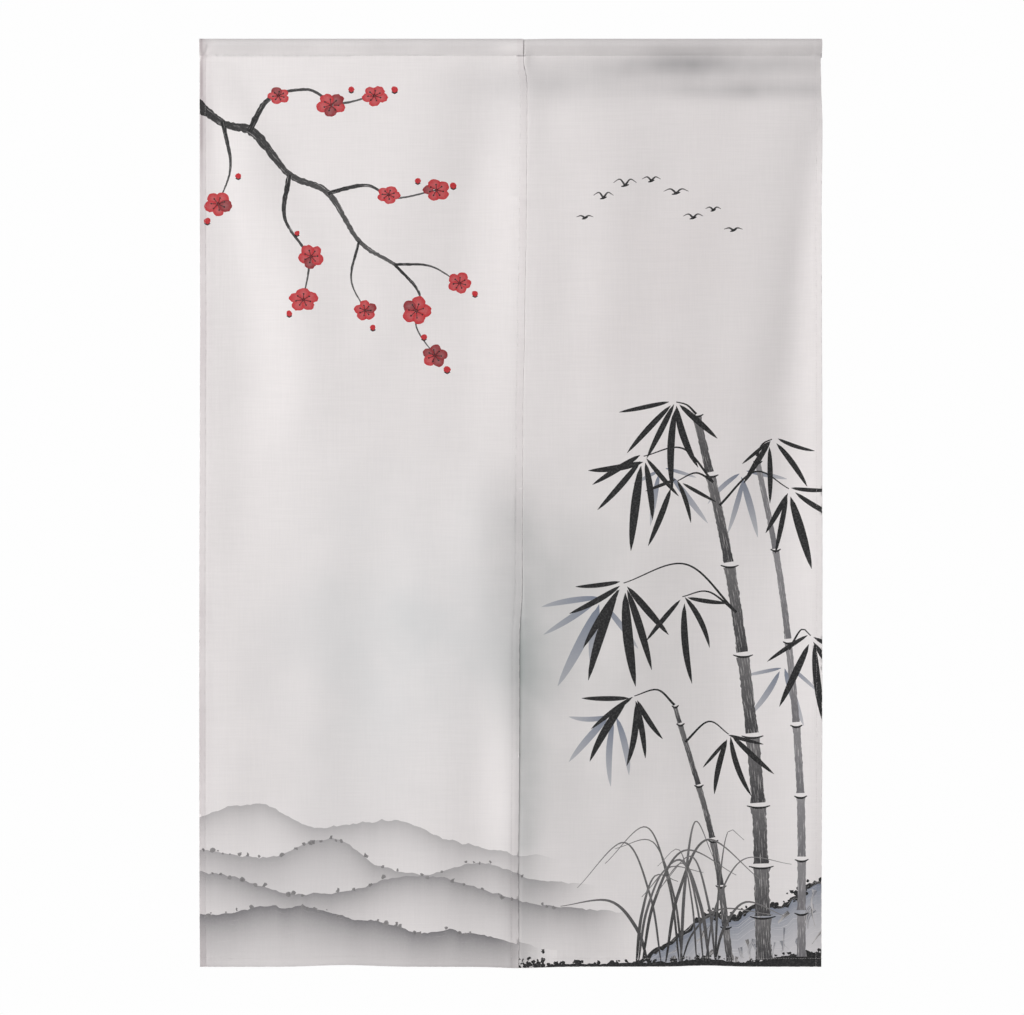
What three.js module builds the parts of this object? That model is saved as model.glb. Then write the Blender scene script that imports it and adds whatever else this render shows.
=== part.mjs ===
// A doorway curtain of two hemmed cloth panels that hang side by side from one rod.
// The top of each panel is a sleeve that the rod passes through. The left panel laps in
// front of the right one, so the slit between them stays closed until someone walks through.
//
// Millimetres. +X runs to the viewer's right along the rod, the front faces -Y, +Z is up.
// The origin is the middle of the top edge, where the sleeves bear on the rod.
import * as THREE from "three";

// Driving sizes
const DROP = 1200; // from the top edge to the bottom hem
const PANEL_WIDTH = 414; // of one panel, hems included
const LAP = 24; // how far the left panel covers the right one at the slit
const CLOTH = 1.2; // thickness of the single cloth
const HEM_EXTRA = 1; // how much thicker the folded hems are, at the back
const SIDE_HEM = 8;
const BOTTOM_HEM = 12;
const HEM_STEP = 2; // over which a hem's thickness falls away to the single cloth
const GAP = 0.3; // between pieces that meet

const SLEEVE_HEIGHT = 22; // from the top edge to the stitch line
const SLEEVE_RADIUS = 7.5; // outside, where it is round over the rod
const SLEEVE_WALL = 1;
const SLEEVE_SEAM = 2.4; // height of the closed seam at its foot
const SEAM_HALF = 1.2; // half the thickness of that seam
const TUNNEL_FOOT_HALF = 0.8; // half the width of the tunnel just above it
const TUCKED_RADIUS = 6.15; // the right sleeve's end, tucked inside the left one
const TUCKED_FOOT = 18.2; // how far below the top edge that end's foot is
const SLEEVE_END_X = 17; // the left sleeve's end at the slit, in front of the right one
const SLEEVE_OVERHANG = 0.5; // how far a sleeve's outer end stands past the cloth below it

const LAP_AT_SLEEVE = 1.5; // each panel's distance from the middle plane at the stitch line
const LAP_BELOW = 3; // the same lower down, where the two panels hang clear of each other
const LAP_GROWTH = 130; // the drop over which one grows to the other

// Worked out from them
const HALF_WIDTH = (2 * PANEL_WIDTH - LAP) / 2;
const PANEL_TOP = -SLEEVE_HEIGHT - GAP;
const ROD_CENTRE_Z = -SLEEVE_RADIUS;

const clothMaterial = new THREE.MeshStandardMaterial({
  color: new THREE.Color(0.86, 0.83, 0.83),
  roughness: 0.9,
  metalness: 0,
});

const mix = (from, to, t) => from + (to - from) * t;
const bell = (distance, width) => Math.exp(-((distance / width) ** 2));
const smooth = (t) => {
  const clamped = Math.min(Math.max(t, 0), 1);
  return clamped * clamped * (3 - 2 * clamped);
};

// The drape, one row for each soft fold. A fold is a ridge whose line runs down the cloth.
// Its x is given at its top, half way down and at its foot, its height and width at its top
// and at its foot, and it swells in below its top and dies away above its foot. A positive
// rise comes towards the viewer, and a negative one is a hollow.
const LEFT_FOLDS = [
  { name: "swell from the corner", x: [-390, -268, -226], z: [-22, -800], width: [24, 88], rise: 4.2 },
  { name: "outer edge drawn forward", x: [-410, -407, -404], z: [-60, -1600], width: [34, 70], rise: 3.6 },
  { name: "low flute", x: [-186, -196, -206], z: [-560, -1500], width: [56, 76], rise: -2.6 },
  { name: "low swell", x: [-104, -100, -96], z: [-640, -1500], width: [40, 52], rise: 2 },
];
const RIGHT_FOLDS = [
  { name: "broad swell", x: [110, 140, 170], z: [-22, -1100], width: [60, 120], rise: 3 },
  { name: "hollow from the corner", x: [404, 352, 310], z: [-110, -1150], width: [20, 74], rise: -3.8 },
  { name: "outer edge drawn forward", x: [414, 410, 404], z: [-110, -1500], width: [26, 50], rise: 8 },
  { name: "low flute", x: [256, 264, 272], z: [-620, -1500], width: [48, 62], rise: -3 },
];
// The slit's edges swing together, so that the lap neither opens nor closes up.
const SLIT_FOLDS = [
  { name: "hollow from the slit", x: [-34, -50, -66], z: [-22, -620], width: [34, 80], rise: -4.6 },
  { name: "held forward", x: [20, 19, 18], z: [-22, -640], width: [30, 48], rise: 3.6 },
  { name: "crest beside the slit", x: [-42, -40, -38], z: [-540, -1080], width: [40, 52], rise: 3.6 },
  { name: "hollow beside the slit", x: [70, 74, 78], z: [-540, -1080], width: [46, 60], rise: -3.6 },
];
const SLIT_REACH = 22; // within it only the slit's folds act, and past it the others fade in
const SLIT_FADE = 44;

function riseOf(fold, x, z) {
  const [topZ, footZ] = fold.z;
  const along = (topZ - z) / (topZ - footZ);
  if (along <= 0 || along >= 1) return 0;
  const [topX, middleX, footX] = fold.x;
  const upper = topX * (1 - along) * (1 - 2 * along) + 4 * middleX * along * (1 - along);
  const line = upper + footX * along * (2 * along - 1);
  const width = mix(...fold.width, along);
  return fold.rise * Math.sin(Math.PI * Math.sqrt(along)) * bell(x - line, width);
}

// How far the middle of the cloth lies behind the rod's axis. side is -1 on the left.
function depthAt(side, x, z) {
  const riseOfAll = (folds) => folds.reduce((sum, fold) => sum + riseOf(fold, x, z), 0);
  const ownShare = smooth((Math.abs(x) - SLIT_REACH) / SLIT_FADE);
  const rise = riseOfAll(SLIT_FOLDS) + ownShare * riseOfAll(side < 0 ? LEFT_FOLDS : RIGHT_FOLDS);
  const lap = mix(LAP_AT_SLEEVE, LAP_BELOW, smooth((PANEL_TOP - z) / LAP_GROWTH));
  return side * lap - rise;
}

// The outline, as uneven as the hanging cloth. Each row says how far the edges have crept
// by one height: a positive inset is inwards, and slitX is where the left panel ends.
const EDGES = [
  { z: 0, leftInset: -0.3, rightInset: -0.5, slitX: 17 },
  { z: -30, leftInset: 0, rightInset: 1.2, slitX: 17.4 },
  { z: -60, leftInset: 0, rightInset: 0.6, slitX: 21.2 },
  { z: -110, leftInset: 0, rightInset: -1, slitX: 21.2 },
  { z: -240, leftInset: 0.4, rightInset: 0.4, slitX: 20 },
  { z: -360, leftInset: 0.8, rightInset: 0, slitX: 18.2 },
  { z: -480, leftInset: 0.4, rightInset: -0.4, slitX: 15.8 },
  { z: -700, leftInset: -0.2, rightInset: -0.7, slitX: 16 },
  { z: -790, leftInset: -0.3, rightInset: -0.6, slitX: 12.7 },
  { z: -860, leftInset: -0.4, rightInset: -0.6, slitX: 12.3 },
  { z: -1100, leftInset: -0.2, rightInset: 0.3, slitX: 11 },
  { z: -1210, leftInset: 0.4, rightInset: 0.3, slitX: 11.4 },
];
function edgeAt(z, column) {
  const lower = EDGES.findIndex((row) => row.z <= z);
  if (lower === 0) return EDGES[0][column];
  const [above, below] = [EDGES[lower - 1], EDGES[lower]];
  return mix(above[column], below[column], smooth((above.z - z) / (above.z - below.z)));
}

// Where the bottom hem is drawn up or hangs low
const HEMLINE = [
  { name: "drawn up", x: -215, width: 48, rise: 2.2 },
  { name: "drawn up on the right", x: 252, width: 34, rise: 1.4 },
  { name: "low at the slit", x: 14, width: 38, rise: -1.8 },
];
const hemlineAt = (x) => HEMLINE.reduce((z, row) => z + row.rise * bell(x - row.x, row.width), -DROP);

// The cloth's grid lines across one of its sizes, with a close pair at the start or the end
// where a hem's thickness falls away
function gridLines(size, count, startHem, endHem) {
  const start = startHem ? startHem + HEM_STEP : 0;
  const end = size - endHem - HEM_STEP;
  const lines = startHem ? [0, startHem] : [];
  for (let i = 0; i <= count; i++) lines.push(mix(start, end, i / count));
  lines.push(size - endHem, size);
  return lines;
}

// One panel: a flat closed sheet with a grid on both faces, drawn into the drape
function makePanel(name, side) {
  const drop = DROP + PANEL_TOP;
  const across = gridLines(PANEL_WIDTH, 18, SIDE_HEM, SIDE_HEM);
  const down = gridLines(drop, 34, 0, BOTTOM_HEM);
  const geometry = new THREE.BoxGeometry(1, 1, 1, across.length - 1, down.length - 1, 1);
  const points = geometry.getAttribute("position");
  for (let i = 0; i < points.count; i++) {
    const flatX = across[Math.round((points.getX(i) + 0.5) * (across.length - 1))];
    const flatDown = down[Math.round((0.5 - points.getY(i)) * (down.length - 1))];
    const isBack = points.getZ(i) < 0;

    const level = PANEL_TOP - flatDown;
    const leftEdge = side < 0 ? edgeAt(level, "leftInset") - HALF_WIDTH : -LAP / 2;
    const rightEdge = side < 0 ? edgeAt(level, "slitX") : HALF_WIDTH - edgeAt(level, "rightInset");
    const x = mix(leftEdge, rightEdge, flatX / PANEL_WIDTH);
    const z = mix(PANEL_TOP, hemlineAt(x), flatDown / drop);

    const pastSideHem = Math.min(flatX, PANEL_WIDTH - flatX) - SIDE_HEM;
    const isHem = Math.min(pastSideHem, drop - BOTTOM_HEM - flatDown) < HEM_STEP / 2;
    const back = CLOTH / 2 + (isHem ? HEM_EXTRA : 0);
    points.setXYZ(i, x, depthAt(side, x, z) + (isBack ? back : -CLOTH / 2), z);
  }
  const panel = new THREE.Mesh(geometry, clothMaterial);
  panel.name = name;
  return panel;
}

// One ring of a sleeve's section at x: round over the rod, then straight down both sides
// to a narrow foot. The ring runs anticlockwise as seen from +X.
const ARC_STEPS = 18;
const ARC_DIP = 0.45; // radians that the round part reaches below the rod's axis
function sectionRing(x, radius, footHalf, footY, footZ) {
  const ring = [];
  for (let i = 0; i <= ARC_STEPS; i++) {
    const angle = mix(-ARC_DIP, Math.PI + ARC_DIP, i / ARC_STEPS);
    ring.push([x, radius * Math.cos(angle), ROD_CENTRE_Z + radius * Math.sin(angle)]);
  }
  ring.push([x, footY - footHalf, footZ], [x, footY + footHalf, footZ]);
  return ring;
}

// A sleeve: a thin wall with an open tunnel through it, from one section to the next.
// Each row is a section: its x, outer radius, and where its foot is.
function makeSleeve(name, rows) {
  const rings = rows.flatMap(({ x, radius, footY, foot }) => [
    sectionRing(x, radius, SEAM_HALF, footY, -foot),
    sectionRing(x, radius - SLEEVE_WALL, TUNNEL_FOOT_HALF, footY, SLEEVE_SEAM - foot),
  ]);
  const size = rings[0].length;
  const index = [];
  const addFace = (...corners) => {
    const [a, b, c, d] = corners.map(([ring, i]) => ring * size + (i % size));
    index.push(a, b, c, a, c, d);
  };
  const lastOuter = rings.length - 2;
  for (let i = 0; i < size; i++) {
    for (let outer = 0; outer < lastOuter; outer += 2) {
      addFace([outer, i], [outer, i + 1], [outer + 2, i + 1], [outer + 2, i]);
      addFace([outer + 1, i], [outer + 3, i], [outer + 3, i + 1], [outer + 1, i + 1]);
    }
    addFace([0, i], [1, i], [1, i + 1], [0, i + 1]);
    addFace([lastOuter, i], [lastOuter, i + 1], [lastOuter + 1, i + 1], [lastOuter + 1, i]);
  }
  const geometry = new THREE.BufferGeometry();
  geometry.setAttribute("position", new THREE.Float32BufferAttribute(rings.flat(2), 3));
  geometry.setIndex(index);
  geometry.computeVertexNormals();
  const sleeve = new THREE.Mesh(geometry, clothMaterial);
  sleeve.name = name;
  return sleeve;
}

const OUTER_END_X = HALF_WIDTH + SLEEVE_OVERHANG;
const full = { radius: SLEEVE_RADIUS, foot: SLEEVE_HEIGHT };
const tucked = { radius: TUCKED_RADIUS, foot: TUCKED_FOOT, footY: -LAP_AT_SLEEVE };
const LEFT_SECTIONS = [
  { x: -OUTER_END_X, ...full, footY: -LAP_AT_SLEEVE },
  { x: -HALF_WIDTH / 2, ...full, footY: -LAP_AT_SLEEVE },
  { x: SLEEVE_END_X, ...full, footY: -LAP_AT_SLEEVE },
];
const RIGHT_SECTIONS = [
  { x: -LAP / 2, ...tucked },
  { x: SLEEVE_END_X + GAP, ...tucked },
  { x: SLEEVE_END_X + 2, ...full, radius: mix(TUCKED_RADIUS, SLEEVE_RADIUS, 0.3), footY: 0 },
  { x: SLEEVE_END_X + 14, ...full, radius: mix(TUCKED_RADIUS, SLEEVE_RADIUS, 0.8), footY: LAP_AT_SLEEVE },
  { x: SLEEVE_END_X + 30, ...full, footY: LAP_AT_SLEEVE },
  { x: OUTER_END_X, ...full, footY: LAP_AT_SLEEVE },
];

const curtain = new THREE.Group();
curtain.add(
  makePanel("panel_left", -1),
  makePanel("panel_right", 1),
  makeSleeve("sleeve_left", LEFT_SECTIONS),
  makeSleeve("sleeve_right", RIGHT_SECTIONS),
);

export default curtain;
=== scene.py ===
import math

import bmesh
import bpy
import numpy as np
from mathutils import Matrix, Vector
from mathutils.geometry import delaunay_2d_cdt


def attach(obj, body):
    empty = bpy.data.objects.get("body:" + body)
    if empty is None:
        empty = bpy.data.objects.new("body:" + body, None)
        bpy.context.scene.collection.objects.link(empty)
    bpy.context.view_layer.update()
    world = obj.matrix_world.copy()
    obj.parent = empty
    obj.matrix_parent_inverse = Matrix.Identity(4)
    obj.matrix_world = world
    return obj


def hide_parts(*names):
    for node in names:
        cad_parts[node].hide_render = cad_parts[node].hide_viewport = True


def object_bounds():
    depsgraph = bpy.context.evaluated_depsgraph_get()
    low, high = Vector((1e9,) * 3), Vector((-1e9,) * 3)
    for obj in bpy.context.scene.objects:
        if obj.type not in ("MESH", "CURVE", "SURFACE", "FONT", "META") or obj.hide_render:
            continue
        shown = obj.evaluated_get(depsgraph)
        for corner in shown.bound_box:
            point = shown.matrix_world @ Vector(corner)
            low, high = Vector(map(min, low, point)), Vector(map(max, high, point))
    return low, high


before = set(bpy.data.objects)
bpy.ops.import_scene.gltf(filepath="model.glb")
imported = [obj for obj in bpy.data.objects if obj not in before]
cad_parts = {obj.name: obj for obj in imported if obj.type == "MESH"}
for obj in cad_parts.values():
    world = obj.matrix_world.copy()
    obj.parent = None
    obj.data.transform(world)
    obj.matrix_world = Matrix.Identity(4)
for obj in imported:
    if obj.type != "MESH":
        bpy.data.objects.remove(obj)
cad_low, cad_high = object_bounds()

MM = 0.001


# Where it hangs: a bare white studio, lit softly from the front left, with a pale floor as
# far below the hem as a doorway leaves it. The camera stands square on, far off, with a
# long lens, so that a pixel of the photograph is the same size all over the cloth.
PHOTO_WIDTH, PHOTO_HEIGHT = 1024, 1015
PIXEL = 1.293 * MM
CURTAIN_MIDDLE_PX = 510.6
CURTAIN_TOP_PX = 38.6
CAMERA_DISTANCE = 9.0
FILM_WIDTH = 36
SEEN_WHITE = 0.99
ROOM_STRENGTH = 0.245
FLOOR_HALF = 5.0
FLOOR_DROP = 0.8
FLOOR_GLOW = 0.3  # so that the far floor stays pale too, seen only by the camera

camera = bpy.data.objects.new("camera", bpy.data.cameras.new("camera"))
camera.data.sensor_width = FILM_WIDTH
camera.data.lens = FILM_WIDTH * CAMERA_DISTANCE / (PHOTO_WIDTH * PIXEL)
camera.data.clip_end = 60
camera.location = (
    (PHOTO_WIDTH / 2 - CURTAIN_MIDDLE_PX) * PIXEL,
    -CAMERA_DISTANCE,
    (CURTAIN_TOP_PX - PHOTO_HEIGHT / 2) * PIXEL,
)
camera.rotation_euler = (math.pi / 2, 0, 0)
bpy.context.scene.collection.objects.link(camera)
bpy.context.scene.camera = camera
bpy.context.scene.view_settings.view_transform = "Standard"


def add_softbox(name, place, aim, size, power, tint):
    """A square softbox that hangs at one place and points at another."""
    lamp = bpy.data.lights.new(name, "AREA")
    lamp.size = size
    lamp.energy = power
    lamp.color = tint
    softbox = bpy.data.objects.new(name, lamp)
    softbox.location = place
    softbox.rotation_mode = "QUATERNION"
    direction = Vector(aim) - Vector(place)
    softbox.rotation_quaternion = direction.to_track_quat("-Z", "Y")
    bpy.context.scene.collection.objects.link(softbox)


add_softbox("key_softbox", (-3.5, -2.2, 0.1), (0, 0, -0.6), 2.4, 152, (1, 0.995, 0.985))
add_softbox("top_softbox", (0.6, -2.2, 2.4), (0, 0, -0.5), 2.0, 26, (0.985, 0.99, 1))
add_softbox("back_softbox", (0.6, 3.0, 1.2), (0, 0, -0.6), 2.0, 60, (1, 1, 1))


def add_node(tree, kind, inputs=(), **settings):
    """A shader node whose inputs are plain values or other nodes' outputs, by name or number."""
    made = tree.nodes.new(kind)
    for label, value in settings.items():
        setattr(made, label, value)
    for label, value in dict(inputs).items():
        if isinstance(value, bpy.types.NodeSocket):
            tree.links.new(value, made.inputs[label])
        else:
            made.inputs[label].default_value = value
    return made


def seen_by_camera(tree):
    return add_node(tree, "ShaderNodeLightPath").outputs["Is Camera Ray"]


world = bpy.data.worlds.new("white_studio")
world.use_nodes = True
room = world.node_tree
room_light = room.nodes["Background"]
room_light.inputs["Color"].default_value = (1, 1, 1, 1)
room_light.inputs["Strength"].default_value = ROOM_STRENGTH
seen_white = add_node(room, "ShaderNodeBackground", {"Color": (SEEN_WHITE, SEEN_WHITE, SEEN_WHITE, 1)})
shown = {0: seen_by_camera(room), 1: room_light.outputs[0], 2: seen_white.outputs[0]}
either = add_node(room, "ShaderNodeMixShader", shown)
room.links.new(either.outputs[0], room.nodes["World Output"].inputs["Surface"])
bpy.context.scene.world = world


def make_floor():
    """The pale floor, which shows only when the curtain is seen from above."""
    z = cad_low.z - FLOOR_DROP
    corners = [(FLOOR_HALF * x, FLOOR_HALF * y, z) for x, y in ((-1, -1), (1, -1), (1, 1), (-1, 1))]
    mesh = bpy.data.meshes.new("floor")
    mesh.from_pydata(corners, [], [(0, 1, 2, 3)])
    pale = bpy.data.materials.new("floor_paint")
    pale.use_nodes = True
    paint = pale.node_tree.nodes["Principled BSDF"]
    paint.inputs["Base Color"].default_value = (0.9, 0.9, 0.9, 1)
    paint.inputs["Roughness"].default_value = 0.9
    paint.inputs["Emission Color"].default_value = (1, 1, 1, 1)
    seen = {0: seen_by_camera(pale.node_tree), 1: FLOOR_GLOW}
    glow = add_node(pale.node_tree, "ShaderNodeMath", seen, operation="MULTIPLY")
    pale.node_tree.links.new(glow.outputs[0], paint.inputs["Emission Strength"])
    mesh.materials.append(pale)
    floor = bpy.data.objects.new("floor", mesh)
    bpy.context.scene.collection.objects.link(floor)


make_floor()


# The hang of the cloths. Each is one length of polyester-linen that hangs from its pocket
# with a few soft folds, and the left one laps in front of the right. All sizes are in
# millimetres: x to the right of the slit's middle, z down from the top edge.
DROP = 1200
PANEL_WIDTH = 414
LAP = 24
HALF_WIDTH = (2 * PANEL_WIDTH - LAP) / 2
STITCH_Z = -22  # the pocket's stitch line
LAP_AT_STITCH = 0.9  # half the distance between the two cloths at the stitch line
POCKET_SPREAD = 14  # from the slit to where the right pocket's seam is that far back

# The lap below it: half the distance between the cloths, how soon and how far the right one
# comes forward again past the left one's edge, and how far that edge is rolled back
LAPS = (
    dict(z=-22, half=0.9, groove=1, butted=0.3, roll=0),
    dict(z=-62, half=0.36, groove=0.8, butted=0.28, roll=0),
    dict(z=-650, half=0.35, groove=0.8, butted=0.28, roll=0),
    dict(z=-710, half=0.38, groove=2, butted=0.25, roll=0),
    dict(z=-770, half=0.62, groove=8, butted=0.2, roll=0.45),
    dict(z=-1040, half=0.62, groove=8, butted=0.2, roll=0.45),
    dict(z=-1140, half=0.4, groove=5, butted=0.2, roll=0.1),
    dict(z=-1210, half=0.38, groove=3, butted=0.2, roll=0),
)
LAP_ROLL = 5  # width of the left cloth's edge that rolls back
LAP_EASE = 30  # the drop below the stitch line over which the lap closes up
CINCH, CINCH_HEIGHT = 1.5, 4.5  # the left edge is drawn in by the pocket's stitches

LEFT_FOLDS = (
    dict(name="swell from the corner", x=(-390, -268, -226), z=(-22, -800), width=(24, 88), rise=4.2),
    dict(name="outer edge drawn forward", x=(-410, -407, -404), z=(-60, -1600), width=(34, 70), rise=3.6),
    dict(name="low flute", x=(-186, -196, -206), z=(-560, -1500), width=(56, 76), rise=-2.6),
    dict(name="low swell", x=(-104, -100, -96), z=(-640, -1500), width=(40, 52), rise=2),
)
RIGHT_FOLDS = (
    dict(name="broad swell", x=(110, 140, 170), z=(-22, -1100), width=(60, 120), rise=3),
    dict(name="hollow from the corner", x=(404, 352, 310), z=(-110, -1150), width=(20, 74), rise=-3.8),
    dict(name="outer edge drawn forward", x=(414, 410, 404), z=(-110, -1500), width=(26, 50), rise=8),
    dict(name="low flute", x=(256, 264, 272), z=(-620, -1500), width=(48, 62), rise=-3),
)
SLIT_FOLDS = (
    dict(name="hollow from the slit", x=(-34, -50, -66), z=(-22, -620), width=(34, 80), rise=-4.6),
    dict(name="held forward", x=(20, 19, 18), z=(-22, -640), width=(30, 48), rise=3.6),
    dict(name="crest beside the slit", x=(-42, -40, -38), z=(-540, -1080), width=(40, 52), rise=3.6),
    dict(name="hollow beside the slit", x=(70, 74, 78), z=(-540, -1080), width=(46, 60), rise=-3.6),
)
SLIT_REACH, SLIT_FADE = 22, 44

# Where the two hanging cloths' edges have crept to, by height
EDGES = (
    dict(z=0, left_inset=-0.3, right_inset=-0.5, slit_x=16.3),
    dict(z=-30, left_inset=0, right_inset=1.2, slit_x=16.8),
    dict(z=-60, left_inset=0, right_inset=0.6, slit_x=21.2),
    dict(z=-110, left_inset=0, right_inset=-1, slit_x=21.2),
    dict(z=-240, left_inset=0.4, right_inset=0.4, slit_x=20),
    dict(z=-360, left_inset=0.8, right_inset=0, slit_x=18.2),
    dict(z=-480, left_inset=0.4, right_inset=-0.4, slit_x=15.8),
    dict(z=-700, left_inset=-0.2, right_inset=-0.7, slit_x=15),
    dict(z=-780, left_inset=-0.3, right_inset=-0.6, slit_x=11.2),
    dict(z=-860, left_inset=-0.4, right_inset=-0.6, slit_x=11.2),
    dict(z=-1100, left_inset=-0.2, right_inset=0.3, slit_x=9.8),
    dict(z=-1210, left_inset=0.4, right_inset=0.3, slit_x=10.4),
)
HEMLINE = (
    dict(name="drawn up", x=-215, width=48, rise=2.2),
    dict(name="drawn up on the right", x=252, width=34, rise=1.4),
    dict(name="low at the slit", x=14, width=38, rise=-1.8),
)


def mix(start, end, t):
    return start + (end - start) * t


def smooth(t):
    t = np.clip(t, 0, 1)
    return t * t * (3 - 2 * t)


def bell(distance, width):
    return np.exp(-((distance / width) ** 2))


def fold_rise(fold, x, z):
    """How far one soft fold brings the cloth towards the viewer."""
    top, foot = fold["z"]
    along = np.clip((top - z) / (top - foot), 0, 1)
    at_top, half_way, at_foot = fold["x"]
    line = at_top * (1 - along) * (1 - 2 * along) + 4 * half_way * along * (1 - along)
    line = line + at_foot * along * (2 * along - 1)
    width = mix(*fold["width"], along)
    return fold["rise"] * np.sin(np.pi * np.sqrt(along)) * bell(x - line, width)


def edge_at(z, column):
    """Where a cloth's edge has crept to at a height."""
    values = np.array([row[column] for row in EDGES], float)
    place = np.interp(-z, [-row["z"] for row in EDGES], range(len(EDGES)))
    row = np.minimum(place.astype(int), len(EDGES) - 2)
    return mix(values[row], values[row + 1], smooth(place - row))


def hemline_at(x):
    return -DROP + sum(row["rise"] * bell(x - row["x"], row["width"]) for row in HEMLINE)


def cloth_sides(side, z):
    """The x of a cloth's left and right edge at a height. side is -1 for the left cloth."""
    if side < 0:
        cinched = CINCH * bell(z - STITCH_Z, CINCH_HEIGHT)
        return edge_at(z, "left_inset") - HALF_WIDTH + cinched, edge_at(z, "slit_x")
    return np.full_like(z, -LAP / 2), HALF_WIDTH - edge_at(z, "right_inset")


# Small unevenness that the folds above leave out: creases from the packing, and a slow
# ripple all over, as thin cloth has when it is hung up straight from its bag
CREASES = (
    dict(name="corner pull, left", ends=((-398, -26), (-300, -390)), width=12, rise=0.45),
    dict(name="corner pull, left, inner", ends=((-385, -24), (-222, -330)), width=15, rise=0.4),
    dict(name="corner pull, right", ends=((399, -60), (352, -470)), width=13, rise=-0.4),
    dict(name="pull from the slit", ends=((6, -28), (-88, -330)), width=16, rise=-0.5),
    dict(name="beside the slit", ends=((-38, -110), (-20, -560)), width=12, rise=0.3),
    dict(name="along the slit, low", ends=((-3, -770), (-6, -1215)), width=20, rise=5.2),
)
PACKING_CREASES = (  # across both cloths: height at the left and right ends and at the slit
    dict(left=-212, right=-208, slit=-209, rise=-0.10),
    dict(left=-398, right=-395, slit=-397, rise=0.10),
    dict(left=-584, right=-580, slit=-582, rise=-0.12),
    dict(left=-757, right=-753, slit=-755, rise=0.12),
    dict(left=-929, right=-925, slit=-927, rise=-0.10),
    dict(left=-1102, right=-1100, slit=-1101, rise=0.10),
)
PACKING_REACH, PACKING_WIDTH = 400, 4
for row in PACKING_CREASES:
    ends = ((-PACKING_REACH, row["left"]), (PACKING_REACH, row["right"]))
    CREASES += (dict(ends=ends, width=PACKING_WIDTH, rise=row["rise"]),)
# Where those creases buckle the slit's edge: a ridge along each with a trough above it
SLIT_KINK = dict(x=12, reach=9, rise=0.75, width=5, trough=0.6, trough_above=9, trough_width=7)
FINE_EASE, FINE_AT_SLIT = 70, 0.35  # the drop over which the creases grow, and their share there
RIPPLES = 16
ripple_dice = np.random.default_rng(7)
ripple_waves = [
    dict(
        length=ripple_dice.uniform(90, 260),
        turn=ripple_dice.normal(0, 0.8),
        phase=ripple_dice.uniform(0, 2 * np.pi),
        rise=ripple_dice.uniform(0.08, 0.26),
    )
    for _ in range(RIPPLES)
]


def crease_rise(crease, x, z):
    """A straight soft crease that dies away towards both of its ends."""
    start, end = np.array(crease["ends"], float)
    run = end - start
    along = ((x - start[0]) * run[0] + (z - start[1]) * run[1]) / (run @ run)
    off = ((x - start[0]) * run[1] - (z - start[1]) * run[0]) / math.hypot(*run)
    strength = np.sin(np.pi * np.clip(along, 0, 1)) ** 0.6
    return crease["rise"] * strength * bell(off, crease["width"])


def ripple_rise(x, z):
    total = 0
    for wave in ripple_waves:
        across = x * math.cos(wave["turn"]) + z * math.sin(wave["turn"])
        total = total + wave["rise"] * np.sin(2 * np.pi * across / wave["length"] + wave["phase"])
    return total


def lap_at(z, column):
    return np.interp(-z, [-row["z"] for row in LAPS], [row[column] for row in LAPS])


def lap_depth(side, x, z):
    """How far the lap puts a cloth in front of the other one, or behind it."""
    past_slit = x - edge_at(z, "slit_x")
    if side < 0:
        return lap_at(z, "roll") * smooth(past_slit / LAP_ROLL + 1) - lap_at(z, "half")
    at_stitch = mix(-LAP_AT_STITCH, LAP_AT_STITCH, smooth(past_slit / POCKET_SPREAD))
    forward = mix(-lap_at(z, "butted"), at_stitch, smooth((z - STITCH_Z) / LAP_EASE + 1))
    return mix(lap_at(z, "half"), forward, smooth(past_slit / lap_at(z, "groove")))


def slit_kinks(x, z):
    """How far the packing creases bring the slit's edge forward."""
    kinks = 0
    for row in PACKING_CREASES:
        above = z - row["slit"]
        trough = bell(above - SLIT_KINK["trough_above"], SLIT_KINK["trough_width"])
        kinks = kinks + bell(above, SLIT_KINK["width"]) - SLIT_KINK["trough"] * trough
    return SLIT_KINK["rise"] * kinks * bell(x - SLIT_KINK["x"], SLIT_KINK["reach"])


def cloth_depth(side, x, z):
    """How far the middle of a cloth lies behind the rod's axis."""
    own_share = smooth((np.abs(x) - SLIT_REACH) / SLIT_FADE)
    own_folds = LEFT_FOLDS if side < 0 else RIGHT_FOLDS
    rise = sum(fold_rise(fold, x, z) for fold in SLIT_FOLDS)
    rise = rise + own_share * sum(fold_rise(fold, x, z) for fold in own_folds)
    below_stitch = smooth((STITCH_Z - z) / FINE_EASE)
    fine = sum(crease_rise(crease, x, z) for crease in CREASES) + ripple_rise(x, z)
    fine = fine * below_stitch * mix(FINE_AT_SLIT, 1, own_share)
    return lap_depth(side, x, z) - rise - slit_kinks(x, z) - fine


# The turned edges. A narrow side hem and a bottom hem are folded to the back and stitched,
# and the stitching draws the cloth in a little, in short uneven puckers along its line.
SIDE_HEM, SLIT_HEM, BOTTOM_HEM = 8, 10, 12
PUCKER_LENGTH = 13
PUCKER_WANDER = ((2.1, 61, 1), (1.3, 23, 2))  # how uneven it is: how far, over what length, shift
PUCKER_RISE, PUCKER_REACH = 0.2, 7
STITCH_GROOVE, STITCH_GROOVE_REACH = 0.1, 1.6
POCKET_ROUND = 7.25  # radius of the pocket's round top, to the middle of the cloth
POCKET_AXIS_Z = -7.5
POCKET_DIP = 0.45  # radians that its round part reaches below the axis
POCKET_LAYERS = 0.35  # half the distance between its two layers at the stitch line
POCKET_GIRTH = 50  # of cloth from the stitch line over the rod and back to it
POCKET_TURNING = 2.5  # of cloth below the stitch line at the back
FRONT_SHARE, ROUND_SHARE = 0.26, 0.48

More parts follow.
